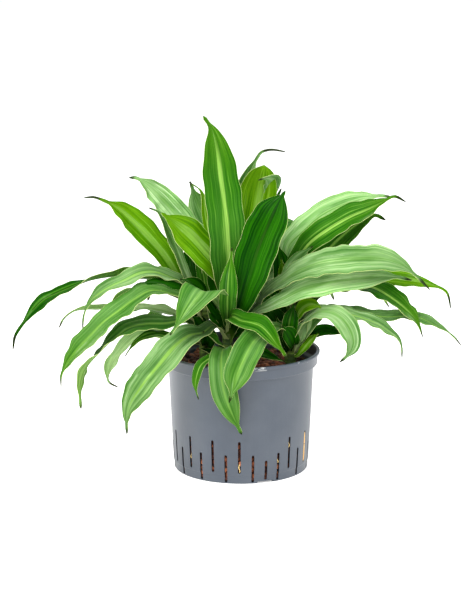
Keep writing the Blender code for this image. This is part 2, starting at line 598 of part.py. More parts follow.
def blade_width(share: float, blade: Blade) -> float:
    """Width of a leaf as a share of its widest, from its root to its tip."""
    if share < blade.widest:
        rise = (share / blade.widest) ** blade.rise
        return NECK_SHARE + (1 - NECK_SHARE) * rise * rise * (3 - 2 * rise)
    fall = min((share - blade.widest) / (1 - blade.tail - blade.widest), 1.0) ** blade.blunt
    return 1 - fall * fall * (3 - 2 * fall)


def blade_object(name: str, blade: Blade, foot: tuple, seed: int):
    """One leaf as a thin closed sheet: folded along its midrib, with waved edges."""
    draw = random.Random(seed)
    phase = (draw.uniform(0, math.tau), draw.uniform(0, math.tau))
    points = [Vector((*foot, blade.root))] + [Vector(point) for point in blade.midrib]
    length = sum((second - first).length for first, second in zip(points, points[1:]))
    steps = min(max(round(length / BLADE_STEP), BLADE_MIN_STEPS), BLADE_MAX_STEPS)
    path = smooth_path(points, steps)
    frames = blade_frames(path, blade)
    shape = bmesh.new()
    rings = []
    for index, (centre, (side, up)) in enumerate(zip(path, frames)):
        share = index / steps
        half = max(blade.width * blade_width(share, blade), TIP_WIDTH) / 2
        fold = math.radians(blade.fold + (FOLD_AT_NECK - blade.fold) * (1 - share) ** 4)
        ring = []
        for hand, turn in ((-1, phase[0]), (0, 0.0), (1, phase[1])):
            wave = math.sin(math.tau * share * length / WAVE_LENGTH + turn)
            wave *= WAVE_HEIGHT * blade.wave * min(half / WAVE_FULL_HALF, 1.0)
            lift = half * math.sin(fold) + wave
            ring.append(centre + side * hand * half * math.cos(fold) + up * lift * abs(hand))
        skins = [[shape.verts.new(point + up * BLADE_THICKNESS / 2) for point in ring],
                 [shape.verts.new(point - up * BLADE_THICKNESS / 2) for point in ring]]
        rings.append(skins)
    for (top_a, low_a), (top_b, low_b) in zip(rings, rings[1:]):
        for skin_a, skin_b in ((top_a, top_b), (low_a, low_b)):
            for left, right in ((0, 1), (1, 2)):
                shape.faces.new((skin_a[left], skin_a[right], skin_b[right]))
                shape.faces.new((skin_a[left], skin_b[right], skin_b[left]))
        for edge in (0, 2):
            shape.faces.new((top_a[edge], top_b[edge], low_b[edge]))
            shape.faces.new((top_a[edge], low_b[edge], low_a[edge]))
    for top, low in (rings[0], rings[-1]):
        for left, right in ((0, 1), (1, 2)):
            shape.faces.new((top[left], top[right], low[right]))
            shape.faces.new((top[left], low[right], low[left]))
    bmesh.ops.recalc_face_normals(shape, faces=shape.faces)
    return add_object(name, shape)


def fill_pockets(mesh) -> None:
    """Keeps a joined mesh's outer skin and drops the skins of pockets closed inside it."""
    shape = bmesh.new()
    shape.from_mesh(mesh)
    waiting = set(shape.verts)
    skins = []
    while waiting:
        skin = [waiting.pop()]
        for vertex in skin:
            for edge in vertex.link_edges:
                other = edge.other_vert(vertex)
                if other in waiting:
                    waiting.remove(other)
                    skin.append(other)
        skins.append(skin)
    skins.sort(key=len)
    for skin in skins[:-1]:
        bmesh.ops.delete(shape, geom=skin, context="VERTS")
    shape.to_mesh(mesh)
    shape.free()


def build_shoot(shoot: Shoot, number: int, material):
    """A shoot: its stem, with every leaf rooted in it, joined into one body."""
    stem = stem_object(shoot)
    blades = [blade_object(f"{shoot.name}_blade_{index}", blade, shoot.foot, 100 * number + index)
              for index, blade in enumerate(shoot.blades)]
    apply_boolean(stem, blades, "UNION")
    fill_pockets(stem.data)
    stem.data.materials.clear()
    stem.data.materials.append(material)
    return stem


def build_root(material):
    """The root that presses against the wall behind one high slot and fills it."""
    low, high = ROOT_HEIGHTS
    shape = bmesh.new()
    rings = []
    for step in range(ROOT_STEPS + 1):
        share = step / ROOT_STEPS
        height = low + (high - low) * share
        thick = ROOT_RADIUS * math.sqrt(max(1 - (2 * share - 1) ** 8, 0.2))
        bow = ROOT_BOW * math.sin(5 * share)
        ring = bmesh.ops.create_circle(shape, cap_ends=False, segments=ROOT_SIDES, radius=thick)
        centre = (bow, -wall_radius(height) + WALL + GAP - ROOT_RADIUS, height)
        bmesh.ops.translate(shape, vec=centre, verts=ring["verts"])
        rings.append(ring["verts"])
    for below, above in zip(rings, rings[1:]):
        for side in range(ROOT_SIDES):
            after = (side + 1) % ROOT_SIDES
            shape.faces.new((below[side], below[after], above[after], above[side]))
    shape.faces.new(rings[0])
    shape.faces.new(rings[-1])
    bmesh.ops.recalc_face_normals(shape, faces=shape.faces)
    turn = front_turn(slot_angle(ROOT_SLOT_NUMBER))
    bmesh.ops.transform(shape, matrix=turn, verts=shape.verts)
    return add_object("root_in_slot", shape, material)


def main() -> None:
    """Builds every piece of the plant and its pot."""
    clear_scene()
    plastic = make_material("slate_plastic", (0.155, 0.185, 0.205), 0.42)
    clay = make_material("fired_clay", (0.17, 0.062, 0.028), 0.9)
    leaf = make_material("leaf_green", (0.07, 0.27, 0.03), 0.38)
    build_pot(plastic)
    build_granulate(clay)
    build_root(make_material("tan_root", (0.62, 0.33, 0.11), 0.6))
    for number, shoot in enumerate(SHOOTS):
        build_shoot(shoot, number, leaf)


if __name__ == "__main__":
    main()
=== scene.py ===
"""Potted dracaena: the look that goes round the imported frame.

Metres, +Z up. The front of the plant faces -Y and +X is to its right. Sizes that a
person would read off the plant are named in millimetres and turned into metres by MM.
"""

import json
import logging
import math
import random
from dataclasses import dataclass
from enum import Enum
from typing import Iterable, Sequence, Union

import bmesh
import bpy
from mathutils import Matrix, Vector, noise

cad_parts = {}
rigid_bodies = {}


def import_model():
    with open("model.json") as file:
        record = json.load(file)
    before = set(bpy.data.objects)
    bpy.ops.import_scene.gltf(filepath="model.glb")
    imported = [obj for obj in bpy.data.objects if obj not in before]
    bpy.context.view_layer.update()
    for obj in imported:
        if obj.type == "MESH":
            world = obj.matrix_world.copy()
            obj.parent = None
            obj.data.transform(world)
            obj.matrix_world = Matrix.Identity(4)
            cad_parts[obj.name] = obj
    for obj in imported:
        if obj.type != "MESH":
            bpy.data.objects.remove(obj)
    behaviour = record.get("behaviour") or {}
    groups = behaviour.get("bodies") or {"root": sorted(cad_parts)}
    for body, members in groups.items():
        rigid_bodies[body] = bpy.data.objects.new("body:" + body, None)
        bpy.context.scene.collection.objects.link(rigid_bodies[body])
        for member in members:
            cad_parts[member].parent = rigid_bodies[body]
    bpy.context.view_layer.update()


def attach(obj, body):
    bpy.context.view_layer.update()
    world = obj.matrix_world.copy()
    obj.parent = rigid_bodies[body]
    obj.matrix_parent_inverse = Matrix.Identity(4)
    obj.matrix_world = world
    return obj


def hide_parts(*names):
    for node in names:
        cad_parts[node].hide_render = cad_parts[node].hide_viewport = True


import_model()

log = logging.getLogger("dracaena")

MM = 0.001
Colour = tuple[float, float, float]
Greens = tuple[Colour, Colour]
Grain = tuple[float, float, float, float, float]
Place = tuple[float, float, float]
WHITE = (1.0, 1.0, 1.0)
LEAF_UV = "leaf_uv"
LOOK_LAYER = "leaf_look"
SIZE_LAYER = "leaf_size"
TONE_LAYER = "pebble_tone"

FRONT = (0.0, -1.0, 0.25)
FRONT_UP = (0.0, -0.75, 0.65)
UP = (0.0, -0.35, 0.95)


def tint(red: int, green: int, blue: int) -> Colour:
    """Turns a colour as a screen shows it, 0 to 255, into a linear one.

    Args:
        red: Screen value of the red channel.
        green: Screen value of the green channel.
        blue: Screen value of the blue channel.

    Returns:
        The linear colour that a shader takes.
    """
    shares = (channel / 255 for channel in (red, green, blue))
    return tuple(share / 12.92 if share <= 0.04045 else ((share + 0.055) / 1.055) ** 2.4
                 for share in shares)


class Wire:
    """A shader value, on which Python's operators add Math nodes."""

    def __init__(self, bench: "MaterialBench", socket: bpy.types.NodeSocket) -> None:
        """Keeps the output socket that carries the value."""
        self.bench = bench
        self.socket = socket

    def __add__(self, other: "Value") -> "Wire":
        """Adds a value."""
        return self.bench.maths("ADD", self, other)

    def __radd__(self, other: "Value") -> "Wire":
        """Is added to a value."""
        return self.bench.maths("ADD", other, self)

    def __sub__(self, other: "Value") -> "Wire":
        """Takes a value away."""
        return self.bench.maths("SUBTRACT", self, other)

    def __rsub__(self, other: "Value") -> "Wire":
        """Is taken away from a value."""
        return self.bench.maths("SUBTRACT", other, self)

    def __mul__(self, other: "Value") -> "Wire":
        """Multiplies by a value."""
        return self.bench.maths("MULTIPLY", self, other)

    def __rmul__(self, other: "Value") -> "Wire":
        """Multiplies a value."""
        return self.bench.maths("MULTIPLY", other, self)


Value = Union[Wire, float]
Paint = Union[Wire, Colour]


class MaterialBench:
    """One Principled material in the making, and the means to add nodes to it."""

    def __init__(self, name: str) -> None:
        """Starts a material with an empty Principled shader.

        Args:
            name: The material's name.
        """
        self.material = bpy.data.materials.new(name)
        self.material.use_nodes = True
        self.tree = self.material.node_tree
        self.shader = self.tree.nodes["Principled BSDF"]

    def node(self, kind: str, settings: dict | None = None, sockets: dict | None = None) -> bpy.types.Node:
        """Adds a node.

        Args:
            kind: The node's type.
            settings: Its own settings, set first.
            sockets: Values or wires for its inputs, by name or number.

        Returns:
            The new node.
        """
        made = self.tree.nodes.new(kind)
        for key, value in (settings or {}).items():
            setattr(made, key, value)
        self.plug(made, sockets or {})
        return made

    def plug(self, target: bpy.types.Node, sockets: dict) -> None:
        """Sets or links some inputs of a node.

        Args:
            target: The node.
            sockets: Values or wires, by the input's name or number.
        """
        for key, value in sockets.items():
            socket = target.inputs[key]
            if isinstance(value, Wire):
                self.tree.links.new(value.socket, socket)
            elif socket.type == "RGBA" and len(value) == 3:
                socket.default_value = (*value, 1.0)
            else:
                socket.default_value = value

    def out(self, source: bpy.types.Node, key: Union[int, str] = 0) -> Wire:
        """Returns one output of a node as a wire."""
        return Wire(self, source.outputs[key])

    def maths(self, operation: str, *values: Value) -> Wire:
        """Adds a Math node on up to three values."""
        return self.out(self.node("ShaderNodeMath", {"operation": operation}, dict(enumerate(values))))

    def smooth(self, value: Value, low: float, high: float) -> Wire:
        """Rises smoothly from 0 at low to 1 at high, and falls where high is the lower.

        Args:
            value: What is measured.
            low: Where the result is 0.
            high: Where the result is 1.

        Returns:
            The smooth share.
        """
        rises = low < high
        ends = {"Value": value, "From Min": min(low, high), "From Max": max(low, high),
                "To Min": float(not rises), "To Max": float(rises)}
        return self.out(self.node("ShaderNodeMapRange", {"interpolation_type": "SMOOTHSTEP"}, ends))

    def blend(self, share: Value, first: Paint, second: Paint, way: str = "MIX") -> Wire:
        """Mixes two colours.

        Args:
            share: How much of the second there is.
            first: The colour below.
            second: The colour above.
            way: The kind of mix.

        Returns:
            The mixed colour.
        """
        settings = {"data_type": "RGBA", "blend_type": way, "clamp_factor": True}
        return self.out(self.node("ShaderNodeMix", settings, {0: share, 6: first, 7: second}), 2)

    def shaded(self, colour: Paint, light: Value) -> Wire:
        """Multiplies a colour by a grey value."""
        return self.blend(1.0, colour, light, "MULTIPLY")

    def point(self, x: Value, y: Value, z: Value) -> Wire:
        """Joins three values into a vector."""
        return self.out(self.node("ShaderNodeCombineXYZ", None, {0: x, 1: y, 2: z}))

    def parts(self, vector: Wire) -> tuple[Wire, Wire, Wire]:
        """Splits a vector into its three values."""
        split = self.node("ShaderNodeSeparateXYZ", None, {0: vector})
        return self.out(split, 0), self.out(split, 1), self.out(split, 2)

    def grain(self, place: Wire, scale: float, detail: float, roughness: float) -> Wire:
        """Adds a noise texture.

        Args:
            place: Where the noise is read.
            scale: How many lumps there are to a unit.
            detail: How many finer layers are added.
            roughness: How strong those layers are.

        Returns:
            The noise, from 0 to 1 and mostly near 0.5.
        """
        sockets = {"Vector": place, "Scale": scale, "Detail": detail, "Roughness": roughness}
        return self.out(self.node("ShaderNodeTexNoise", None, sockets), "Fac")

    def place(self) -> Wire:
        """Returns the Object coordinates."""
        return self.out(self.node("ShaderNodeTexCoord"), "Object")

    def attribute(self, name: str) -> tuple[Wire, Wire, Wire, Wire]:
        """Reads the four values of a mesh attribute."""
        source = self.node("ShaderNodeAttribute", {"attribute_name": name})
        return (*self.parts(self.out(source, "Vector")), self.out(source, "Alpha"))

    def bump(self, height: Wire, depth: float) -> Wire:
        """Turns a height into a bumped normal of a real depth in metres."""
        return self.out(self.node("ShaderNodeBump", None, {"Height": height, "Distance": depth}))

    def finish(self, sockets: dict) -> bpy.types.Material:
        """Feeds the shader and returns the material."""
        self.plug(self.shader, sockets)
        return self.material


@dataclass(frozen=True)
class LeafFinish:
    """The skin of one side of the leaves.

    Every green is a pair, between the leaf's veins and on them. The upper side is waxy and
    the under side papery. A grain says how close its streaks lie across and along the
    leaf, how far they shift from leaf to leaf, and its detail and roughness.
    """
    name: str
    dark: Greens
    mid: Greens
    lime: Greens
    pale: Greens
    stripe: Colour
    margin: Colour
    sheath: Colour
    glint: Colour
    dry: Colour
    roughness: float
    stripe_strength: float
    paper: float = 0.0
    through_light: float = 0.08
    vein_depth: float = 0.0014
    patches: float = 22.0
    broad_grain: Grain = (300.0, 5.0, 90.0, 2.0, 0.6)
    fine_grain: Grain = (900.0, 12.0, 70.0, 2.0, 0.6)
    sheen_grain: Grain = (60.0, 9.0, 40.0, 3.0, 0.55)
    glint_grain: Grain = (190.0, 6.0, 50.0, 2.0, 0.5)

    def material(self) -> bpy.types.Material:
        """Returns the finish as a material."""
        return LeafPaint(self).finished()


class LeafPaint:
    """One side of the leaves in the making: what it is mixed from, and its layers.

    The leaf's own attributes say how strong and how broad its light middle stripe is, how
    yellow and how pale it is, how wide and long it is, where its streaks begin and how
    long its thin tail is.
    """

    def __init__(self, finish: LeafFinish) -> None:
        """Reads the leaf's own values and lays its streaks out.

        Args:
            finish: What the side is painted with.
        """
        self.finish = finish
        self.bench = MaterialBench(finish.name)
        bench = self.bench
        u, self.v, _ = bench.parts(bench.out(bench.node("ShaderNodeUVMap", {"uv_map": LEAF_UV})))
        self.stripe, self.spread, self.warm, self.pale = bench.attribute(LOOK_LAYER)
        width, length, self.seed, self.tail = bench.attribute(SIZE_LAYER)
        self.middle = u - 0.5
        self.edge = bench.maths("ABSOLUTE", self.middle * 2.0)
        self.side = self.middle * width
        self.along = self.v * length
        self.outer = bench.smooth(self.v, 0.5, 0.95)
        self.broad = self._streaks(finish.broad_grain)
        self.fine = self._streaks(finish.fine_grain)
        self.patch = bench.grain(bench.place(), finish.patches, 3.0, 0.55)

    def _streaks(self, grain: Grain) -> Wire:
        """Adds noise that runs along the leaf and differs from leaf to leaf.

        Args:
            grain: How close, shifted and fine its streaks are.

        Returns:
            The noise.
        """
        across, along, shift, detail, roughness = grain
        place = self.bench.point(self.side * across, self.along * along, self.seed * shift)
        return self.bench.grain(place, 1.0, detail, roughness)

    def _greens(self) -> Wire:
        """Mixes the dark, mid, yellow and pale greens, each between the veins and on them.

        Returns:
            The green that the other layers go on.
        """
        bench = self.bench
        finish = self.finish
        veins = bench.smooth(self.broad * 0.7 + self.fine * 0.3, 0.33, 0.67)
        # Striped leaves are painted lighter and yellower towards the tip: painted light, added on top of
        # each leaf's own yellowness.
        lime_and_lit_tip = bench.smooth(self.warm + 0.33 * self.outer * self.stripe, 0.4, 1.0)
        # The pale greens lie in soft patches of painted sheen, fainter towards the tip.
        sheen_patches = 0.4 + 0.78 * bench.smooth(self._streaks(finish.sheen_grain), 0.34, 0.62)
        layers = ((bench.smooth(self.warm, 0.0, 0.4), finish.mid), (lime_and_lit_tip, finish.lime),
                  (self.pale * sheen_patches * (1.0 - 0.4 * self.outer), finish.pale))
        green = bench.blend(veins, *finish.dark)
        for share, pair in layers:
            green = bench.blend(share, green, bench.blend(veins, *pair))
        return green

    def _striped(self, green: Wire) -> Wire:
        """Adds the light middle stripe and the fine light lines beside it.

        Args:
            green: The colour so far.

        Returns:
            The colour with them.
        """
        bench = self.bench
        colour = self.finish.stripe
        strength = self.finish.stripe_strength
        core = bench.maths("ABSOLUTE", self.middle * 2.0 + (self.seed - 0.5) * 0.16)
        reach = self.spread * (0.9 - 0.4 * bench.smooth(self.v, 0.2, 0.65))
        band = bench.smooth(core + (self.broad - 0.5) * 0.34 - reach, 0.08, -0.02)
        band = band * self.stripe * strength * bench.smooth(self.v, 0.97, 0.7)
        green = bench.blend(band * (0.5 + 0.7 * self.fine), green, colour)
        lines = bench.smooth(self.fine * 0.4 + self.broad * 0.6, 0.57, 0.63)
        lines = lines * bench.smooth(self.edge, 0.9, 0.3)
        return bench.blend(lines * self.stripe * 0.35 * strength, green, colour)

    def _lit(self, green: Wire) -> Wire:
        """Adds the whitish glints, and the light and shade from base to tip.

        Args:
            green: The colour so far.

        Returns:
            The colour with them.
        """
        bench = self.bench
        glint = bench.smooth(self._streaks(self.finish.glint_grain), 0.58, 0.70)
        glint = glint * bench.smooth(self.patch, 0.44, 0.60) * bench.smooth(self.edge, 1.0, 0.8)
        glint = glint * (0.03 + 0.16 * self.outer + 0.4 * self.pale)
        green = bench.blend(glint, green, self.finish.glint)
        # Paleness above 1 brightens the whole leaf: painted light.
        bright = 1.0 + bench.maths("MAXIMUM", self.pale - 1.0, 0.0)
        course = (0.44 + 0.56 * bench.smooth(self.v, 0.05, 0.6)) * (1.0 - 0.12 * self.outer)
        return bench.shaded(green, bright * (0.72 + 0.36 * self.fine + 0.2 * self.patch) * course)

    def _edged(self, green: Wire) -> Wire:
        """Adds the cream margin, the pale sheath at the base and the dry tip.

        Args:
            green: The colour so far.

        Returns:
            The colour with them.
        """
        bench = self.bench
        finish = self.finish
        rim = bench.smooth(self.edge + (self.patch - 0.5) * 0.05, 0.885, 0.94)
        green = bench.blend(rim * 0.85, green, finish.margin)
        base = bench.smooth(self.v + (self.fine - 0.5) * 0.06, 0.14 + 0.16 * finish.paper, 0.02)
        green = bench.blend(base * (0.6 + 0.3 * finish.paper), green, finish.sheath)
        dry = bench.smooth(self.v + self.tail * 0.75 + (self.patch - 0.5) * 0.02, 0.98, 1.01)
        return bench.blend(dry * 0.9 * bench.smooth(self.tail, 0.008, 0.02), green, finish.dry)

    def finished(self) -> bpy.types.Material:
        """Puts the layers together.

        Returns:
            The leaf's material.
        """
        green = self._edged(self._lit(self._striped(self._greens())))
        gloss = self.finish.roughness + 0.16 * (self.fine - 0.5) + 0.14 * (self.patch - 0.5)
        veined = self.bench.bump(0.65 * self.broad + 0.35 * self.fine, self.finish.vein_depth)
        return self.bench.finish({
            "Base Color": green, "Roughness": gloss, "Normal": veined,
            "Subsurface Weight": self.finish.through_light, "Subsurface Radius": (0.5, 1.0, 0.2),
            "Subsurface Scale": 0.002, "IOR": 1.45, "Specular IOR Level": 0.03,
        })


@dataclass(frozen=True)
class StemFinish:
    """The green skin of the stems, with paler rings where old leaves sat."""
    name: str = "stem_bark"
    dark: Colour = tint(34, 62, 8)
    light: Colour = tint(108, 134, 50)

    def material(self) -> bpy.types.Material:
        """Paints the bark.

        Returns:
            The material.
        """
        bench = MaterialBench(self.name)
        place = bench.place()
        _, _, height = bench.parts(place)
        rings = bench.grain(bench.point(0.3, 0.7, height * 140.0), 1.0, 3.0, 0.6)
        patch = bench.grain(place, 60.0, 4.0, 0.6)
        bark = rings * 0.6 + patch * 0.4
        colour = bench.blend(bench.smooth(bark, 0.42, 0.62), self.dark, self.light)
        return bench.finish({
            "Base Color": colour, "Roughness": 0.55 + 0.2 * patch, "IOR": 1.45,
            "Normal": bench.bump(bark, 0.001),
        })


@dataclass(frozen=True)
class PotPlastic:
    """Slate-grey moulded plastic: mottle, flow lines, lime marks, a painted highlight on the lip, pale
    patches at the foot, painted shade with some dirt in the rim, painted shade on the slot walls.
    """
    pot: "CulturePot"
    name: str = "slate_plastic"
    body: Colour = tint(57, 65, 76)
    cloud: Colour = tint(68, 75, 85)
    chalk_and_highlight: Colour = tint(214, 216, 214)
    shade_and_dirt: Colour = tint(34, 34, 30)
    shade: Colour = tint(22, 20, 18)
    roughness: float = 0.38
    highlight_x: float = 0.026
    slots_below: float = 0.080

    def _marks_and_highlight(self, bench: MaterialBench, x: Wire, y: Wire, height: Wire) -> tuple[Wire, Wire]:
        """Finds the lime marks on the lip, with a painted highlight crowded at its front, and the pale
        patches at the foot.

        Args:
            bench: Where the nodes go.
            x: The place to the right.
            y: The place to the back.
            height: The height over the floor.

        Returns:
            How strong the marks and the painted highlight are, and the pale patches at the foot.
        """
        lip = self.pot.mouth_height * MM
        scuff = bench.grain(bench.point(x * 60.0, y * 60.0, height * 160.0), 1.0, 5.0, 0.7)
        # Painted highlight: the marks crowd together at one place on the front of the lip.
        highlight_spot = bench.smooth(bench.maths("ABSOLUTE", x - self.highlight_x), 0.018, 0.010)
        highlight_spot = highlight_spot * bench.smooth(y, -0.100, -0.108)
        marks = bench.smooth(scuff + 0.16 * highlight_spot, 0.60, 0.70) * bench.smooth(height, lip - 0.004, lip)
        # Pale patches on the lowest 20 mm of the pot.
        return marks, bench.smooth(scuff, 0.66, 0.78) * bench.smooth(height, 0.02, 0.0)

    def _inner_shade_and_dirt(self, bench: MaterialBench, radius: Wire, height: Wire) -> Wire:
        """Finds the inside of the rim band, which is painted dark: painted shade with some dirt.

        Args:
            bench: Where the nodes go.
            radius: The distance from the pot's axis.
            height: The height over the floor.

        Returns:
            Where it shows.
        """
        pot = self.pot
        lip = pot.mouth_height * MM
        band = (pot.band_foot + 1.5) * MM
        bore = (pot.bore + 1.0) * MM
        inside = bench.smooth(radius, bore + 0.0004, bore)
        above = bench.smooth(height, band, band + 0.0005)
        return inside * above * bench.smooth(height, lip + 0.001, lip - 0.004)

    def _slot_walls(self, bench: MaterialBench, radius: Wire, height: Wire) -> Wire:
        """Finds where the body's wall is cut through, a little inside its outer face; these slot walls get
        painted shade.

        Args:
            bench: Where the nodes go.
            radius: The distance from the pot's axis.
            height: The height over the floor.

        Returns:
            Where a slot's wall shows.
        """
        pot = self.pot
        foot = pot.wall_radius(0.0) * MM
        flare = pot.wall_radius(1.0) - pot.wall_radius(0.0)
        step = bench.smooth(height, (pot.step_height + 1.2) * MM, (pot.step_height - 0.2) * MM) * 0.0009
        depth = foot + flare * height - step - radius
        reach = bench.smooth(height, self.slots_below + 0.005, self.slots_below)
        return bench.smooth(depth, 0.0002, 0.0007) * reach * bench.smooth(height, 0.001, 0.0016)

    def material(self) -> bpy.types.Material:
        """Paints the plastic.

        Returns:
            The material.
        """
        bench = MaterialBench(self.name)
        place = bench.place()
        x, y, height = bench.parts(place)
        radius = bench.maths("POWER", x * x + y * y, 0.5)
        cloud = bench.grain(place, 9.0, 4.0, 0.6)
        mottle = bench.grain(place, 420.0, 2.0, 0.5)
        flow = bench.grain(bench.point(x * 240.0, y * 240.0, height * 9.0), 1.0, 2.0, 0.5)
        marks, foot_patches = self._marks_and_highlight(bench, x, y, height)
        colour = bench.blend(bench.smooth(cloud, 0.35, 0.7), self.body, self.cloud)
        colour = bench.shaded(colour, 0.93 + 0.08 * mottle + 0.06 * flow)
        # Lime marks with a painted highlight on the lip, and pale patches at the foot.
        colour = bench.blend(marks * 0.65 + foot_patches * 0.4, colour, self.chalk_and_highlight)
        # Painted shade with some dirt: the inside of the rim band is darkened.
        colour = bench.blend(self._inner_shade_and_dirt(bench, radius, height) * 0.85, colour, self.shade_and_dirt)
        # Painted shade: the slot walls are painted nearly black, so the slots read as dark gaps.
        colour = bench.blend(self._slot_walls(bench, radius, height) * 0.9, colour, self.shade)
        rough = self.roughness + 0.10 * (cloud - 0.5) + 0.35 * marks + 0.06 * (mottle - 0.5)
        return bench.finish({
            "Base Color": colour, "Roughness": rough, "IOR": 1.49,
            "Normal": bench.bump(mottle * 0.5 + flow * 0.5, 0.00012),
        })


@dataclass(frozen=True)
class FiredClay:
    """Red-brown expanded clay, each pebble a little lighter or darker than the next, with painted shade in
    its pits and between the top pebbles, and painted light on the pebbles in the slots.

    A tone above 1 marks the fine pale roots that are part of the same piece.
    """
    name: str = "fired_clay"
    dark: Colour = tint(58, 28, 18)
    brown: Colour = tint(118, 64, 38)
    light: Colour = tint(192, 120, 82)
    rootlet: Colour = tint(226, 196, 130)

    def material(self) -> bpy.types.Material:
        """Paints the clay and its fine roots.

        Returns:
            The material.
        """
        bench = MaterialBench(self.name)
        place = bench.place()
        _, _, height = bench.parts(place)
        tone, _, _, _ = bench.attribute(TONE_LAYER)
        pit = bench.grain(place, 420.0, 5.0, 0.65)
        skin = bench.grain(place, 130.0, 3.0, 0.6)
        share = tone * 0.75 + (skin - 0.5) * 0.8
        colour = bench.blend(bench.smooth(share, 0.0, 0.5), self.dark, self.brown)
        colour = bench.blend(bench.smooth(share, 0.45, 0.95), colour, self.light)
        # Painted shade and light: the skin is darker in its pits, the top pebbles darker down between them,
        # and the pebbles seen through the slots much lighter.
        slot_brightening = bench.smooth(height, 0.100, 0.085)
        tops_out_of_shade = bench.smooth(height, 0.163, 0.171)
        colour = bench.shaded(colour, (0.36 + 1.05 * pit) * (0.34 + 0.62 * tops_out_of_shade + 1.36 * slot_brightening))
        colour = bench.blend(bench.smooth(tone, 1.2, 1.4), colour, self.rootlet)
        return bench.finish({
            "Base Color": colour, "Roughness": 0.86 + 0.1 * (pit - 0.5), "IOR": 1.45,
            "Normal": bench.bump(pit * 0.5 + skin * 0.5, 0.0012),
        })


@dataclass(frozen=True)
class RootSkin:
    """Tan root skin with fine lengthwise fibres."""
    name: str = "tan_root"
    tan: Colour = tint(214, 150, 66)
    pale: Colour = tint(238, 206, 142)
    brown: Colour = tint(128, 74, 30)

    def material(self) -> bpy.types.Material:
        """Paints the root.

        Returns:
            The material.
        """
        bench = MaterialBench(self.name)
        x, y, height = bench.parts(bench.place())
        fibre = bench.grain(bench.point(x * 1500.0, y * 1500.0, height * 60.0), 1.0, 3.0, 0.6)
        patch = bench.grain(bench.point(x * 60.0, y * 60.0, height * 110.0), 1.0, 3.0, 0.6)
        colour = bench.blend(bench.smooth(fibre, 0.35, 0.7), self.tan, self.pale)
        colour = bench.blend(bench.smooth(patch, 0.54, 0.68) * 0.75, colour, self.brown)
        return bench.finish({
            "Base Color": colour, "Roughness": 0.6 + 0.2 * (fibre - 0.5), "IOR": 1.45,
            "Normal": bench.bump(fibre, 0.0003),
        })


@dataclass(frozen=True)
class PaperWhite:
    """The pale matt surface of the studio floor."""
    name: str = "studio_white"
    colour: Colour = (0.9, 0.9, 0.9)
    glow: float = 0.5

    def material(self) -> bpy.types.Material:
        """Returns the finish as a material."""
        bench = MaterialBench(self.name)
        return bench.finish({
            "Base Color": self.colour, "Roughness": 0.9, "Specular IOR Level": 0.0,
            "Emission Color": self.colour, "Emission Strength": self.glow,
        })


UPPER = LeafFinish(
    "leaf_upper_side", dark=(tint(0, 40, 0), tint(24, 86, 0)), mid=(tint(18, 78, 0), tint(54, 112, 8)),
    lime=(tint(58, 110, 0), tint(100, 147, 12)), pale=(tint(88, 134, 66), tint(144, 174, 120)),
    stripe=tint(130, 172, 74), margin=tint(196, 210, 136), sheath=tint(96, 132, 36),
    glint=tint(176, 204, 152), dry=tint(28, 34, 14), roughness=0.33, stripe_strength=1.0)
UNDER = LeafFinish(
    "leaf_under_side", dark=(tint(26, 72, 2), tint(64, 110, 24)),
    mid=(tint(54, 102, 24), tint(100, 144, 58)), lime=(tint(92, 138, 14), tint(140, 174, 50)),
    pale=(tint(106, 142, 82), tint(160, 188, 130)), stripe=tint(144, 176, 82),
    margin=tint(186, 200, 130), sheath=tint(170, 182, 122), glint=tint(180, 200, 160),
    dry=tint(46, 44, 24), roughness=0.5, stripe_strength=0.7, paper=1.0)


class Look(Enum):
    """How one leaf is coloured: stripe strength, stripe spread, yellowness and paleness."""
    # Paleness lays soft patches of painted sheen on a leaf; above 1 it also brightens the whole leaf as
    # painted light.
    BOLD = (1.0, 0.04, 0.30, 0.05)
    DEEP = (0.05, -0.06, 0.08, 0.0)
    OLIVE = (0.3, 0.0, 0.1, 0.0)
    LIT = (0.6, 0.22, 0.78, 0.0)
    GLOSS = (0.8, 0.04, 0.22, 0.68)
    SOFT = (0.14, 0.1, 0.3, 0.95)
    # This look's paleness above 1 brightens the whole leaf: painted light for leaves that lie in shade.
    PAINTED_BRIGHT = (0.14, 0.1, 0.3, 1.35)
    FRESH = (0.6, 0.03, 0.4, 0.3)


BOLD, DEEP, OLIVE, LIT, GLOSS, SOFT, PAINTED_BRIGHT, FRESH = Look


@dataclass(frozen=True)
class Blade:
    """One leaf.

    It leaves its stem at the height root. Then come its widest width, the way its upper
    side looks at its middle, its twist from middle to tip in degrees, its midrib, its
    colouring, the share of its length at which it is widest, how long it stays broad
    before its tip, the angle in degrees that each half is folded up by, how strongly its
    margins wave, how late it widens, and the share of its length that is a thin tail.
    """
    root: float
    width: float
    faces: Place
    twist: float
    midrib: tuple[Place, ...]
    look: Look
    widest: float = 0.52
    blunt: float = 2.6
    fold: float = 13.0
    wave: float = 1.0
    rise: float = 1.0
    tail: float = 0.04


def filler(root: float, width: float, faces: Place, midrib: tuple[Place, ...], **form: float) -> Blade:
    """Returns an untwisted dark leaf that closes a gap between the others."""
    return Blade(root, width, faces, 0, midrib, DEEP, **form)


@dataclass(frozen=True)
class Shoot:
    """One stem with its leaves."""
    name: str
    foot: tuple[float, float]
    radius: float
    top: float
    blades: tuple[Blade, ...]


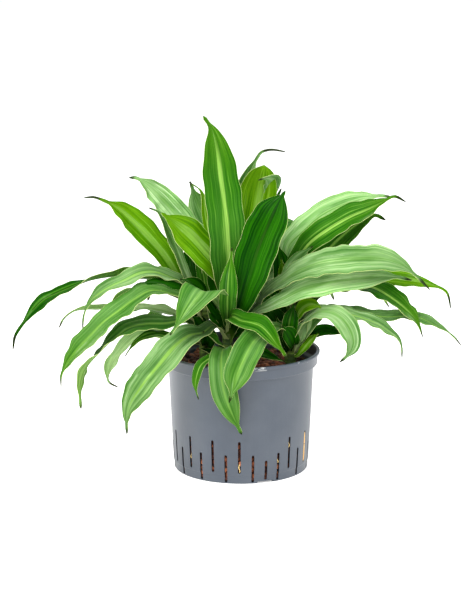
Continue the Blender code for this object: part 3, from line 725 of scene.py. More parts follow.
CENTRE = Shoot("leafy_shoot_centre", (-21, -15), 10.0, 248, (
    Blade(227, 58, (0.15, -1.0, 0.1), 8, ((-20, -26, 296), (-22, -33, 379), (-32, -36, 469),
          (-43, -29, 539), (-58, -23, 563)), BOLD, widest=0.36, blunt=3.8, fold=9, wave=0.7, tail=0.01),
    Blade(202, 64, (-0.25, -1.0, 0.25), -10, ((-6, -33, 252), (8, -43, 299), (25, -49, 357),
          (43, -49, 403), (57, -43, 431), (68, -35, 449)), DEEP, widest=0.6, blunt=3.6, fold=10, wave=0.5,
          tail=0.01),
    Blade(218, 29, FRONT, 5, ((-21, -41, 262), (-19, -56, 312), (-14, -54, 364)), BOLD, widest=0.45,
          blunt=2),
    Blade(243, 54, FRONT_UP, 4, ((-34, -19, 318), (-59, -30, 355), (-80, -42, 380), (-101, -54, 401),
          (-122, -64, 420)), LIT, widest=0.55, fold=6, wave=0.8, tail=0.01),
    Blade(247, 13, FRONT, 30, ((-45, 0, 349), (-55, 5, 399), (-62, 2, 441), (-81, -6, 458)), LIT),
    Blade(217, 50, FRONT_UP, -10, ((27, -12, 262), (39, -22, 284), (61, -30, 303), (87, -36, 320),
          (119, -45, 335), (155, -56, 343), (192, -66, 348), (226, -74, 347), (252, -79, 337),
          (271, -82, 322), (289, -84, 304)), SOFT, widest=0.58, fold=10, wave=1.2, rise=1.5, tail=0.07),
    Blade(207, 40, (0.0, -0.8, 0.6), -10, ((25, -19, 254), (42, -25, 263), (67, -33, 278), (96, -39, 294),
          (134, -46, 305), (171, -51, 312), (208, -53, 316), (239, -55, 318), (263, -57, 313)), PAINTED_BRIGHT,
          widest=0.55, blunt=2.8, fold=10, wave=1.3, rise=1.3),
    Blade(214, 33, FRONT_UP, 15, ((-14, -50, 253), (0, -66, 251), (17, -84, 252), (32, -97, 249),
          (44, -106, 239), (55, -111, 224), (62, -113, 216), (69, -114, 205)), BOLD, widest=0.5, blunt=2,
          fold=22, wave=1.3, tail=0.02),
    Blade(192, 42, (0.0, -1.0, 0.15), 10, ((-27, -72, 207), (-29, -106, 202), (-29, -126, 193),
          (-28, -133, 173), (-22, -135, 146), (-12, -134, 118), (1, -129, 87)), FRESH, widest=0.5,
          blunt=2.4, fold=16, tail=0.02),
    Blade(185, 16, (-0.3, -0.9, 0.3), 20, ((-38, -77, 199), (-53, -102, 197), (-63, -118, 191),
          (-69, -124, 172), (-69, -125, 158), (-65, -123, 141)), BOLD, widest=0.6, blunt=2.4, fold=20),
    Blade(183, 28, UP, 0, ((-30, -40, 201), (-44, -50, 218), (-59, -56, 232)), BOLD),
    filler(188, 17, UP, ((-30, -34, 185), (-51, -46, 195), (-68, -52, 206))),
    filler(185, 23, UP, ((10, -36, 198), (33, -46, 194), (52, -54, 188), (68, -58, 184))),
    Blade(224, 68, (-0.3, -0.66, 0.69), 0, ((-37, -36, 271), (-54, -55, 292), (-57, -62, 297),
          (-66, -76, 289), (-80, -95, 275), (-95, -112, 258), (-108, -124, 242)), FRESH, widest=0.5,
          blunt=1.25, fold=12, wave=0.8, rise=1.2, tail=0.02),
    Blade(200, 54, (-0.3, -0.75, 0.55), 15, ((-41, -38, 236), (-59, -56, 229), (-79, -76, 229),
          (-97, -96, 220), (-112, -110, 206), (-127, -122, 190), (-142, -132, 174), (-154, -138, 158),
          (-166, -143, 141), (-173, -145, 121), (-174, -145, 92)), GLOSS, widest=0.5, blunt=3.2, fold=14,
          wave=1.2, tail=0.03),
    filler(213, 28, FRONT_UP, ((-30, -20, 245), (-45, -28, 271), (-58, -32, 292)), widest=0.5, blunt=3),
    filler(232, 30, FRONT, ((-30, -8, 271), (-39, -10, 303), (-47, -12, 332)), widest=0.5),
    filler(218, 30, FRONT_UP, ((-31, -22, 239), (-42, -28, 253), (-55, -32, 271)), widest=0.5),
    filler(208, 22, FRONT, ((-8, -20, 222), (3, -22, 235), (16, -20, 249)), widest=0.5),
))

LEFT = Shoot("leafy_shoot_left", (-57, 5), 9.0, 264, (
    Blade(253, 44, FRONT_UP, 10, ((-55, 12, 334), (-69, 15, 362), (-86, 15, 384), (-105, 12, 407),
          (-128, 5, 434), (-147, -5, 454), (-162, -12, 465), (-173, -15, 466)), PAINTED_BRIGHT, widest=0.5, blunt=3,
          fold=10, wave=1.7, tail=0.03),
    Blade(243, 21, (0.7, -0.7, 0.3), 10, ((-85, -5, 307), (-103, -10, 356), (-115, -19, 385),
          (-127, -31, 414), (-142, -43, 424)), SOFT),
    Blade(259, 43, FRONT_UP, 20, ((-95, 15, 285), (-104, 18, 310), (-126, 22, 343), (-152, 23, 373),
          (-182, 20, 403), (-202, 14, 419), (-217, 8, 427), (-230, 4, 432), (-244, 0, 432)), LIT,
          widest=0.56, blunt=2.2, fold=14, wave=1.2, tail=0.12),
    Blade(239, 34, (0.0, 0.7, 0.7), -135, ((-99, 8, 287), (-127, 10, 297), (-159, 10, 304),
          (-190, 8, 306), (-221, 3, 303), (-244, -2, 298), (-265, -6, 290), (-283, -10, 283),
          (-307, -15, 272), (-325, -20, 256), (-339, -25, 239), (-353, -28, 218), (-357, -30, 196)),
          OLIVE, widest=0.4, blunt=3, tail=0.08),
    Blade(232, 32, (-0.3, -0.6, 0.7), 20, ((-91, -6, 296), (-111, -10, 308), (-134, -19, 318),
          (-157, -28, 318), (-180, -37, 309), (-203, -45, 300), (-221, -52, 290), (-235, -56, 277),
          (-243, -58, 254), (-245, -60, 224)), GLOSS, widest=0.48, blunt=2.2, wave=1.6, tail=0.1),
    Blade(212, 27, (0.0, 0.6, 0.75), 20, ((-71, -8, 234), (-96, -14, 245), (-119, -20, 254),
          (-142, -24, 260), (-165, -28, 261), (-192, -30, 263), (-220, -33, 264), (-243, -36, 264),
          (-260, -38, 260), (-275, -40, 249), (-283, -41, 234)), SOFT, widest=0.36, blunt=1.6, wave=1.3),
    Blade(217, 50, (-0.4, -0.5, 0.75), 10, ((-79, -29, 271), (-107, -38, 286), (-138, -48, 294),
          (-162, -60, 284), (-186, -70, 267), (-209, -80, 251), (-232, -90, 229), (-252, -97, 209),
          (-267, -103, 192), (-275, -107, 174), (-276, -109, 155)), FRESH, widest=0.56, blunt=3.4,
          rise=1.2, tail=0.05),
    Blade(202, 36, (0.0, -0.6, 0.8), 125, ((-88, -22, 239), (-118, -36, 239), (-149, -50, 241),
          (-172, -62, 239), (-190, -74, 229), (-205, -83, 218), (-220, -92, 203), (-234, -98, 189),
          (-243, -103, 173), (-247, -107, 151), (-246, -110, 122)), FRESH, widest=0.42, blunt=3.4,
          wave=1.2, tail=0.02),
    Blade(198, 25, (-0.2, 0.8, 0.5), 0, ((-119, -22, 216), (-142, -30, 225), (-161, -38, 223),
          (-176, -45, 212), (-190, -50, 197), (-201, -53, 182), (-207, -54, 165), (-206, -53, 150),
          (-192, -51, 141)), PAINTED_BRIGHT, widest=0.6, blunt=3, wave=1.4, tail=0.08),
    Blade(192, 20, UP, 0, ((-111, -39, 220), (-134, -47, 224), (-154, -52, 219), (-169, -56, 208),
          (-180, -60, 193)), BOLD),
    Blade(257, 28, FRONT_UP, 10, ((-80, -10, 271), (-98, -19, 286), (-118, -26, 296), (-134, -32, 302),
          (-147, -37, 304), (-160, -41, 299), (-166, -43, 285)), DEEP, widest=0.45, blunt=1.7, tail=0.12),
    Blade(248, 22, FRONT, 5, ((-56, 0, 292), (-63, 0, 330), (-68, -1, 354)), BOLD),
    Blade(238, 36, (-0.4, 0.5, 0.8), 0, ((-98, 41, 267), (-155, 88, 268), (-198, 116, 243),
          (-219, 134, 204)), BOLD),
    Blade(227, 34, (0.0, 0.6, 0.8), 0, ((-78, 52, 267), (-112, 114, 290), (-141, 170, 267),
          (-155, 207, 221)), GLOSS),
    filler(207, 30, (-0.2, 0.6, 0.8), ((-88, 46, 224), (-124, 93, 227), (-150, 124, 206),
          (-163, 145, 174))),
    filler(243, 30, FRONT, ((-69, 16, 282), (-77, 24, 325), (-85, 28, 363)), widest=0.5, blunt=3),
    filler(229, 30, FRONT_UP, ((-71, 2, 249), (-83, -6, 274), (-102, -10, 289)), widest=0.5, blunt=3),
    filler(252, 22, (-0.2, -0.6, 0.75), ((-64, -8, 288), (-80, -16, 303), (-95, -20, 307)), widest=0.5,
          blunt=2.2),
    filler(206, 24, FRONT_UP, ((-58, -8, 222), (-66, -16, 237), (-77, -20, 248)), widest=0.5),
    filler(196, 24, FRONT, ((-53, -10, 200), (-50, -16, 218), (-45, -19, 235)), widest=0.5),
))

RIGHT = Shoot("leafy_shoot_right", (78, 0), 9.5, 260, (
    Blade(249, 43, FRONT_UP, -20, ((69, 6, 292), (86, 8, 328), (108, 8, 359), (139, 4, 383),
          (170, 0, 402), (203, -6, 418), (225, -10, 430), (238, -12, 436), (255, -14, 428)), BOLD,
          wave=0.9, tail=0.07),
    Blade(238, 38, FRONT_UP, -10, ((92, 19, 276), (107, 25, 301), (126, 29, 327), (150, 29, 354),
          (180, 25, 382), (209, 17, 401), (226, 8, 395)), BOLD, widest=0.34, blunt=3.4),
    Blade(233, 30, FRONT_UP, 0, ((101, 5, 268), (132, 3, 288), (163, 1, 301), (210, -6, 309),
          (248, -12, 305), (276, -17, 302), (295, -21, 298), (310, -24, 294), (321, -26, 286),
          (327, -27, 262)), LIT, widest=0.5, blunt=2.2, tail=0.09),
    Blade(222, 38, (0.1, -0.6, 0.8), -20, ((89, -8, 247), (116, -12, 272), (147, -19, 292),
          (177, -26, 300), (208, -35, 296), (234, -45, 282), (255, -56, 267), (270, -62, 251),
          (281, -66, 225)), BOLD, widest=0.55, blunt=3.4, wave=1.3),
    Blade(216, 23, (0.0, -0.6, 0.8), -20, ((87, 0, 234), (108, -4, 249), (147, -14, 256), (186, -24, 254),
          (224, -34, 250), (255, -43, 253), (277, -50, 252), (297, -58, 244), (315, -64, 236),
          (329, -70, 226), (340, -74, 213)), GLOSS, widest=0.55, blunt=2.8, wave=1.4, tail=0.05),
    Blade(200, 24, (0.0, -0.6, 0.8), -20, ((86, -12, 227), (105, -20, 249), (135, -33, 259),
          (166, -48, 258), (193, -58, 252), (215, -66, 244), (231, -74, 234), (245, -81, 221),
          (248, -85, 197)), GLOSS, widest=0.48, blunt=3, wave=1.3),
    Blade(192, 34, (0.3, -0.85, 0.4), -20, ((88, -17, 217), (101, -28, 240), (120, -42, 258),
          (138, -56, 261), (154, -66, 254), (165, -74, 241), (171, -80, 227), (171, -83, 215),
          (165, -86, 203), (152, -89, 191)), SOFT, widest=0.62, blunt=3, fold=10, wave=1.3),
    filler(183, 20, FRONT_UP, ((93, 2, 194), (112, 3, 212), (132, 2, 220), (151, -2, 218),
          (165, -6, 211))),
    Blade(208, 46, (0.1, -0.85, 0.5), 10, ((60, -30, 231), (44, -56, 235), (31, -76, 232),
          (16, -101, 223), (3, -126, 204), (-7, -143, 184), (-13, -151, 163), (-18, -157, 145)), FRESH,
          widest=0.62, blunt=3.2, fold=18),
    Blade(252, 18, FRONT, 5, ((68, 3, 275), (67, 6, 306), (63, 8, 335)), LIT),
    Blade(243, 36, (0.4, 0.5, 0.8), 0, ((114, 41, 273), (165, 79, 288), (212, 109, 269), (242, 132, 227)),
          BOLD),
    Blade(231, 34, (0.1, 0.6, 0.8), 0, ((93, 57, 263), (116, 119, 286), (138, 170, 267), (155, 205, 223)),
          GLOSS),
    filler(208, 30, (0.3, 0.6, 0.8), ((108, 41, 228), (147, 83, 233), (178, 112, 212), (196, 128, 177))),
    filler(247, 28, FRONT, ((68, 20, 281), (63, 28, 324), (58, 32, 355)), widest=0.5, blunt=3),
    Blade(235, 22, FRONT_UP, 10, ((86, -14, 243), (97, -24, 262), (110, -33, 270), (121, -38, 268),
          (127, -41, 261)), LIT, widest=0.5, blunt=2.2),
    filler(200, 26, FRONT_UP, ((82, -14, 200), (75, -24, 220), (64, -30, 234)), widest=0.5),
    Blade(205, 18, FRONT_UP, 0, ((91, -12, 211), (97, -18, 228), (106, -24, 241)), SOFT, widest=0.5),
    Blade(243, 24, FRONT_UP, 0, ((71, -2, 294), (80, -4, 321), (97, -6, 344), (112, -8, 357)), SOFT,
          widest=0.55),
    filler(236, 26, FRONT, ((71, 6, 255), (60, 10, 273), (44, 12, 295)), widest=0.5),
    filler(216, 34, FRONT, ((68, 6, 224), (50, 10, 249), (28, 12, 281)), widest=0.5),
    Blade(180, 15, FRONT_UP, 0, ((91, -6, 198), (105, -14, 222), (119, -20, 243), (134, -24, 254)), SOFT,
          widest=0.7, blunt=3),
    Blade(178, 26, FRONT, 0, ((75, -13, 204), (77, -17, 238), (84, -16, 268)), OLIVE, widest=0.5,
          blunt=3),
    Blade(184, 20, (0.2, 0.85, 0.5), 0, ((85, -8, 187), (91, -14, 206), (102, -18, 228), (117, -16, 244),
          (135, -12, 252)), SOFT, widest=0.55, blunt=2.2),
    Blade(183, 17, FRONT, 0, ((72, -9, 190), (68, -13, 211), (61, -14, 230), (55, -12, 246)), OLIVE,
          widest=0.5, blunt=2.4),
    Blade(181, 13, FRONT_UP, 0, ((88, -9, 181), (98, -12, 193), (110, -11, 207), (123, -8, 218)), LIT,
          widest=0.6, blunt=2.4),
))

BACK = Shoot("leafy_shoot_back", (15, 54), 10.0, 283, (
    Blade(265, 48, FRONT, 5, ((-12, 46, 321), (-36, 46, 356), (-66, 42, 410), (-80, 34, 452)), SOFT,
          widest=0.5, blunt=3),
    Blade(278, 32, FRONT, 0, ((8, 54, 319), (3, 55, 394), (3, 55, 419), (8, 54, 443), (17, 50, 471),
          (28, 46, 492), (34, 44, 498), (49, 42, 501), (69, 40, 498)), SOFT, widest=0.45, blunt=2.2,
          tail=0.17),
    Blade(274, 60, FRONT, 6, ((14, 43, 341), (19, 42, 389), (25, 39, 425), (31, 33, 455), (36, 27, 479)),
          LIT, widest=0.6, blunt=5.5, fold=8, tail=0.01),
    Blade(270, 42, FRONT_UP, -15, ((67, 50, 320), (76, 52, 348), (97, 52, 369), (125, 50, 394),
          (156, 46, 411), (187, 40, 423), (218, 32, 429), (235, 26, 429)), PAINTED_BRIGHT, widest=0.5, fold=10,
          wave=1.1),
    Blade(259, 42, (-0.3, 0.6, 0.75), 0, ((-16, 91, 328), (-39, 134, 362), (-57, 181, 364),
          (-68, 222, 330)), BOLD),
    Blade(253, 45, (0.1, 0.6, 0.8), 0, ((23, 98, 330), (31, 150, 369), (39, 207, 364), (43, 253, 318)),
          GLOSS),
    Blade(247, 40, (0.4, 0.5, 0.75), 0, ((50, 91, 320), (76, 134, 355), (101, 181, 351), (116, 217, 314)),
          BOLD),
    filler(231, 38, (-0.1, 0.6, 0.8), ((-10, 108, 277), (-23, 170, 295), (-31, 227, 266),
          (-35, 258, 216))),
    Blade(220, 38, (0.2, 0.6, 0.8), 0, ((36, 108, 267), (58, 170, 281), (74, 222, 250), (85, 250, 200)),
          GLOSS),
    filler(207, 34, (0.0, 0.6, 0.8), ((12, 98, 232), (10, 145, 239), (8, 184, 214), (6, 207, 173))),
    filler(280, 28, (0.2, -0.9, 0.3), ((31, 60, 337), (45, 64, 383), (54, 66, 414), (64, 68, 435))),
    filler(255, 38, FRONT, ((-6, 58, 305), (-24, 62, 350), (-38, 66, 392))),
    filler(214, 44, FRONT_UP, ((27, 44, 203), (43, 42, 224), (62, 40, 237), (80, 38, 246)), widest=0.55,
          blunt=3),
    Blade(276, 31, FRONT, 0, ((25, 58, 354), (35, 52, 392), (44, 44, 425), (49, 36, 447), (46, 27, 456),
          (37, 22, 459), (27, 21, 456)), PAINTED_BRIGHT, widest=0.86, blunt=1.6, fold=2, wave=0.2, rise=4),
))

SHOOTS = (CENTRE, LEFT, RIGHT, BACK)


def new_piece(name: str, shape: bmesh.types.BMesh, smooth_angle: float = 180.0) -> bpy.types.Object:
    """Turns a bmesh in metres into a smooth-shaded object at the origin.

    Args:
        name: The object's name.
        shape: Its mesh, which is freed.
        smooth_angle: Edges that bend more than this, in degrees, stay sharp.

    Returns:
        The object, linked to the scene.
    """
    mesh = bpy.data.meshes.new(name)
    shape.to_mesh(mesh)
    shape.free()
    mesh.shade_smooth()
    if smooth_angle < 180.0:
        mesh.set_sharp_from_angle(angle=math.radians(smooth_angle))
    piece = bpy.data.objects.new(name, mesh)
    bpy.context.scene.collection.objects.link(piece)
    return piece


def settle_modifiers(piece: bpy.types.Object) -> None:
    """Applies a piece's modifiers to its mesh.

    Args:
        piece: The piece, which is left without modifiers.
    """
    bpy.context.view_layer.update()
    shown = piece.evaluated_get(bpy.context.evaluated_depsgraph_get())
    settled = bpy.data.meshes.new_from_object(shown)
    piece.modifiers.clear()
    piece.data = settled


def take_in(shape: bmesh.types.BMesh, extra: bmesh.types.BMesh) -> None:
    """Adds a second bmesh, which is freed, to a first.

    Args:
        shape: The bmesh that grows.
        extra: The bmesh that it takes in.
    """
    scratch = bpy.data.meshes.new("taken_in")
    extra.to_mesh(scratch)
    extra.free()
    shape.from_mesh(scratch)
    bpy.data.meshes.remove(scratch)


def set_tone(shape: bmesh.types.BMesh, tone: float) -> None:
    """Gives all of a bmesh one tone of clay.

    Args:
        shape: The bmesh.
        tone: From 0 for dark to 1 for light, or 2 for a fine root.
    """
    layer = shape.verts.layers.float_color.new(TONE_LAYER)
    for vert in shape.verts:
        vert[layer] = (tone, tone, tone, 1.0)


def lathe(profile: Sequence[tuple[float, float]], sides: int, turn: float = 0.0) -> bmesh.types.BMesh:
    """Spins a profile whose two ends lie on the axis.

    Args:
        profile: Points as radius and height, in millimetres.
        sides: How many steps a full turn has.
        turn: Angle of the first step, in radians.

    Returns:
        A closed bmesh in metres, its faces outwards.
    """
    shape = bmesh.new()
    points = [shape.verts.new((radius * MM, 0.0, height * MM)) for radius, height in profile]
    edges = [shape.edges.new(pair) for pair in zip(points, points[1:])]
    bmesh.ops.rotate(shape, matrix=Matrix.Rotation(turn, 3, "Z"), verts=shape.verts)
    bmesh.ops.spin(shape, geom=points + edges, axis=(0, 0, 1), cent=(0, 0, 0),
                   angle=math.tau, steps=sides, use_merge=True)
    bmesh.ops.remove_doubles(shape, verts=shape.verts, dist=0.01 * MM)
    bmesh.ops.recalc_face_normals(shape, faces=shape.faces)
    return shape


def tube(points: Sequence[Vector], radii: Sequence[float], sides: int) -> bmesh.types.BMesh:
    """Draws a round tube along a path, closed at both ends.

    Args:
        points: The path, in metres.
        radii: The tube's radius at each point, in metres.
        sides: How many sides the tube has.

    Returns:
        The tube as a closed bmesh.
    """
    shape = bmesh.new()
    heading = (points[1] - points[0]).normalized()
    start = Matrix.Translation(points[0]) @ heading.to_track_quat("Z", "Y").to_matrix().to_4x4()
    bmesh.ops.create_circle(shape, cap_ends=True, segments=sides, radius=radii[0], matrix=start)
    rim = list(shape.edges)
    for before, after, old, new in zip(points, points[1:], radii, radii[1:]):
        grown = bmesh.ops.extrude_edge_only(shape, edges=rim)["geom"]
        moved = [item for item in grown if isinstance(item, bmesh.types.BMVert)]
        rim = [item for item in grown if isinstance(item, bmesh.types.BMEdge)]
        rim = [edge for edge in rim if all(vert in moved for vert in edge.verts)]
        for vert in moved:
            vert.co = after + (vert.co - before) * (new / old)
    bmesh.ops.holes_fill(shape, edges=rim, sides=0)
    bmesh.ops.recalc_face_normals(shape, faces=shape.faces)
    return shape


def distances(points: Sequence[Vector]) -> list[float]:
    """Measures how far each point lies along its path.

    Args:
        points: The path's points.

    Returns:
        One distance for each point, from 0.
    """
    walked = [0.0]
    for first, second in zip(points, points[1:]):
        walked.append(walked[-1] + (second - first).length)
    return walked


def smooth_path(points: Sequence[Vector], steps: int, fineness: int = 24) -> list[Vector]:
    """Spaces points evenly on a smooth curve through the given ones.

    Args:
        points: The points that the curve passes through.
        steps: How many even steps it is cut into.
        fineness: How many short pieces each stretch between two points is measured by.

    Returns:
        The points, one more than the steps.
    """
    lengths = distances(points)
    slopes = []
    for index in range(len(points)):
        low = max(index - 1, 0)
        high = min(index + 1, len(points) - 1)
        slopes.append((points[high] - points[low]) / (lengths[high] - lengths[low]))
    fine = []
    for index, (start, end) in enumerate(zip(points, points[1:])):
        span = lengths[index + 1] - lengths[index]
        leave = slopes[index] * span
        arrive = slopes[index + 1] * span
        for piece in range(fineness):
            t = piece / fineness
            fine.append(start * (2 * t ** 3 - 3 * t ** 2 + 1) + leave * (t ** 3 - 2 * t ** 2 + t)
                        + end * (3 * t ** 2 - 2 * t ** 3) + arrive * (t ** 3 - t ** 2))
    fine.append(points[-1])
    walked = distances(fine)
    path = []
    place = 0
    for step in range(steps + 1):
        goal = walked[-1] * step / steps
        while place < len(fine) - 2 and walked[place + 1] < goal:
            place += 1
        share = (goal - walked[place]) / (walked[place + 1] - walked[place])
        path.append(fine[place].lerp(fine[place + 1], min(max(share, 0.0), 1.0)))
    return path


@dataclass(frozen=True)
class LeafForm:
    """What every leaf's form shares, in millimetres and degrees.

    The neck, fold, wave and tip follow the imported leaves. The ripple of the margins, with
    its calm stretches, the ribs and the slight change of width are finer than those are.
    """
    thickness: float = 0.6
    row_step: float = 4.6
    fewest_rows: int = 40
    most_rows: int = 84
    columns: int = 24
    neck_share: float = 0.22
    fold_at_neck: float = 42.0
    trough_slope: float = 1.16
    trough_round: float = 0.02
    cheek: float = 0.05
    wave_height: float = 1.6
    wave_length: float = 62.0
    full_half: float = 12.0
    tip_width: float = 1.4
    tail_width: float = 6.0
    tail_share: float = 0.16
    round_from: float = 5.0
    ripple_height: float = 1.5
    ripple_length: float = 27.0
    ripple_drift: float = 1.3
    drift_length: float = 41.0
    calm_length: float = 37.0
    rib_height: float = 0.16
    ribs: float = 5.0
    breath: float = 0.03
    breath_length: float = 7.0


class LeafSurface:
    """The upper side of one leaf: a place for every row and every share across it."""

    def __init__(self, blade: Blade, foot: tuple[float, float], seed: int, form: LeafForm) -> None:
        """Lays the midrib and its directions out.

        Args:
            blade: The leaf.
            foot: Where its stem stands.
            seed: Starts its waves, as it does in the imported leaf.
            form: What all the leaves share.
        """
        draw = random.Random(seed)
        self.blade = blade
        self.form = form
        self.phase = {-1: draw.uniform(0, math.tau), 1: draw.uniform(0, math.tau)}
        self.ripple_phase = {-1: draw.uniform(0, math.tau), 1: draw.uniform(0, math.tau)}
        self.ruffle = draw.uniform(0.5, 1.3)
        self.streak_seed = draw.random()
        points = [Vector((*foot, blade.root))] + [Vector(point) for point in blade.midrib]
        self.length = distances(points)[-1]
        self.rows = min(max(round(self.length / form.row_step), form.fewest_rows), form.most_rows)
        self.path = smooth_path(points, self.rows)
        self.frames = self._frames()

    def _frames(self) -> list[tuple[Vector, Vector]]:
        """Carries the leaf's facing along its midrib, and twists it.

        Returns:
            The side and upward directions at each point.
        """
        path = self.path
        ahead = []
        for index in range(len(path)):
            low = max(index - 1, 0)
            high = min(index + 1, len(path) - 1)
            ahead.append((path[high] - path[low]).normalized())
        middle = round(self.blade.widest * (len(path) - 1))
        up = Vector(self.blade.faces)
        up = (up - ahead[middle] * up.dot(ahead[middle])).normalized()
        ups = {middle: up}
        for order in (range(middle + 1, len(path)), range(middle - 1, -1, -1)):
            carried = up
            for index in order:
                carried = (carried - ahead[index] * carried.dot(ahead[index])).normalized()
                ups[index] = carried
        frames = []
        for index in range(len(path)):
            share = max(index - middle, 0) / (len(path) - 1 - middle)
            turn = Matrix.Rotation(math.radians(self.blade.twist * share), 3, ahead[index])
            turned = turn @ ups[index]
            frames.append((ahead[index].cross(turned).normalized(), turned))
        return frames

    def half_width(self, share: float) -> float:
        """Finds half the leaf's width.

        Args:
            share: The place along it, from 0 at the root to 1 at the tip.

        Returns:
            Half the width there, in millimetres.
        """
        blade = self.blade
        form = self.form
        if share < blade.widest:
            rise = (share / blade.widest) ** blade.rise
            swell = form.neck_share + (1 - form.neck_share) * rise * rise * (3 - 2 * rise)
        else:
            reach = min((share - blade.widest) / (1 - blade.tail - blade.widest), 1.0)
            fall = reach ** blade.blunt
            swell = 1 - fall * fall * (3 - 2 * fall)
            if blade.blunt > form.round_from:
                swell = math.sqrt(1 - reach ** 4)
        thick = min(blade.width * form.tail_share, form.tail_width)
        left = min((1 - share) / blade.tail, 1.0)
        thin = form.tip_width + (thick - form.tip_width) * left ** 0.6
        return max(blade.width * swell, thin) / 2

    def place(self, row: int, across: float) -> Vector:
        """Finds one point of the upper side.

        Args:
            row: The row along the midrib.
            across: From -1 at one margin to 1 at the other.

        Returns:
            The point, in metres.
        """
        blade = self.blade
        form = self.form
        share = row / self.rows
        half = self.half_width(share)
        fold = math.radians(blade.fold + (form.fold_at_neck - blade.fold) * (1 - share) ** 4)
        hand = -1 if across < 0 else 1
        out = abs(across)
        walked = share * self.length
        wave = math.sin(math.tau * walked / form.wave_length + self.phase[hand])
        drift = form.ripple_drift * math.sin(walked / form.drift_length)
        ripple = math.sin(math.tau * walked / form.ripple_length + self.ripple_phase[hand] + drift)
        ripple *= 0.3 + 0.7 * (0.5 + 0.5 * math.sin(walked / form.calm_length + 2.0 * self.phase[hand]))
        small = min(half / form.full_half, 1.0)
        trough = math.sqrt(out * out + form.trough_round) - math.sqrt(form.trough_round)
        lift = half * math.sin(fold) * (trough * form.trough_slope + form.cheek * math.sin(math.pi * out))
        lift += wave * form.wave_height * blade.wave * small * out ** 1.6
        lift += ripple * form.ripple_height * blade.wave * self.ruffle * small * out ** 3
        lift += form.rib_height * math.cos(math.tau * form.ribs * out) * small * (1 - out ** 4)
        breath = form.breath * self.ruffle * math.sin(walked / form.breath_length + self.ripple_phase[hand])
        reach = across * half * math.cos(fold) * (1.0 + breath)
        side, up = self.frames[row]
        return (self.path[row] + side * reach + up * lift) * MM


@dataclass
class LeafyShoot:
    """A shoot: its stem, and every leaf as a fine thin sheet rooted in it."""
    shoot: Shoot
    number: int
    form: LeafForm = LeafForm()
    stem_sides: int = 24
    stem_foot: float = 118.0
    ground: float = 180.5
    taper: float = 0.75
    cone: float = 12.0
    ring_step: float = 7.0
    ring_outline: tuple[tuple[float, float], ...] = ((-0.35, -1.2), (0.0, 0.0), (0.0, 1.6), (-0.35, 2.6))

    def build(self) -> bpy.types.Object:
        """Grows the leaves and the stem.

        Returns:
            The shoot as one undressed piece.
        """
        shape = bmesh.new()
        uv_layer = shape.loops.layers.uv.new(LEAF_UV)
        look_layer = shape.verts.layers.float_color.new(LOOK_LAYER)
        size_layer = shape.verts.layers.float_color.new(SIZE_LAYER)
        for index, blade in enumerate(self.shoot.blades):
            surface = LeafSurface(blade, self.shoot.foot, 100 * self.number + index, self.form)
            grid = bmesh.ops.create_grid(shape, x_segments=self.form.columns,
                                         y_segments=surface.rows, size=0.5)
            size = (blade.width * MM, surface.length * MM, surface.streak_seed, blade.tail)
            for vert in grid["verts"]:
                u = vert.co.x + 0.5
                v = vert.co.y + 0.5
                for loop in vert.link_loops:
                    loop[uv_layer].uv = (u, v)
                vert[look_layer] = blade.look.value
                vert[size_layer] = size
                vert.co = surface.place(round(v * surface.rows), math.sin(math.pi * (u - 0.5)))
        piece = new_piece(self.shoot.name + "_leaves", shape)
        skin = piece.modifiers.new("thickness", "SOLIDIFY")
        skin.thickness = self.form.thickness * MM
        skin.offset = 0.0
        skin.material_offset = 1
        for _ in range(3):
            piece.data.materials.append(None)
        settle_modifiers(piece)
        self._add_stem(piece)
        return piece

    def _add_stem(self, piece: bpy.types.Object) -> None:
        """Joins the ringed stem to the leaves' mesh.

        Args:
            piece: The leaves.
        """
        shoot = self.shoot
        neck_height = shoot.top - self.cone
        profile = [(0.0, self.stem_foot), (shoot.radius, self.stem_foot)]
        height = self.stem_foot + self.ring_step
        while height < neck_height:
            share = max(height - self.ground, 0.0) / (neck_height - self.ground)
            radius = shoot.radius * (1.0 + (self.taper - 1.0) * share)
            profile += [(radius + out, height + up) for out, up in self.ring_outline]
            height += self.ring_step
        profile += [(shoot.radius * self.taper, neck_height), (0.0, shoot.top)]
        stem = lathe(profile, self.stem_sides)
        bmesh.ops.translate(stem, vec=Vector((*shoot.foot, 0.0)) * MM, verts=stem.verts)
        for face in stem.faces:
            face.smooth = True
            face.material_index = 2
        whole = bmesh.new()
        whole.from_mesh(piece.data)
        take_in(whole, stem)
        whole.to_mesh(piece.data)
        whole.free()

    def dress(self, piece: bpy.types.Object, skins: Sequence[bpy.types.Material]) -> None:
        """Gives the piece its upper, under and stem skins, and its place in the frame.

        Args:
            piece: The undressed piece.
            skins: Its three materials, in that order.
        """
        for slot, skin in enumerate(skins):
            piece.data.materials[slot] = skin
        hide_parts(self.shoot.name)
        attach(piece, "root")


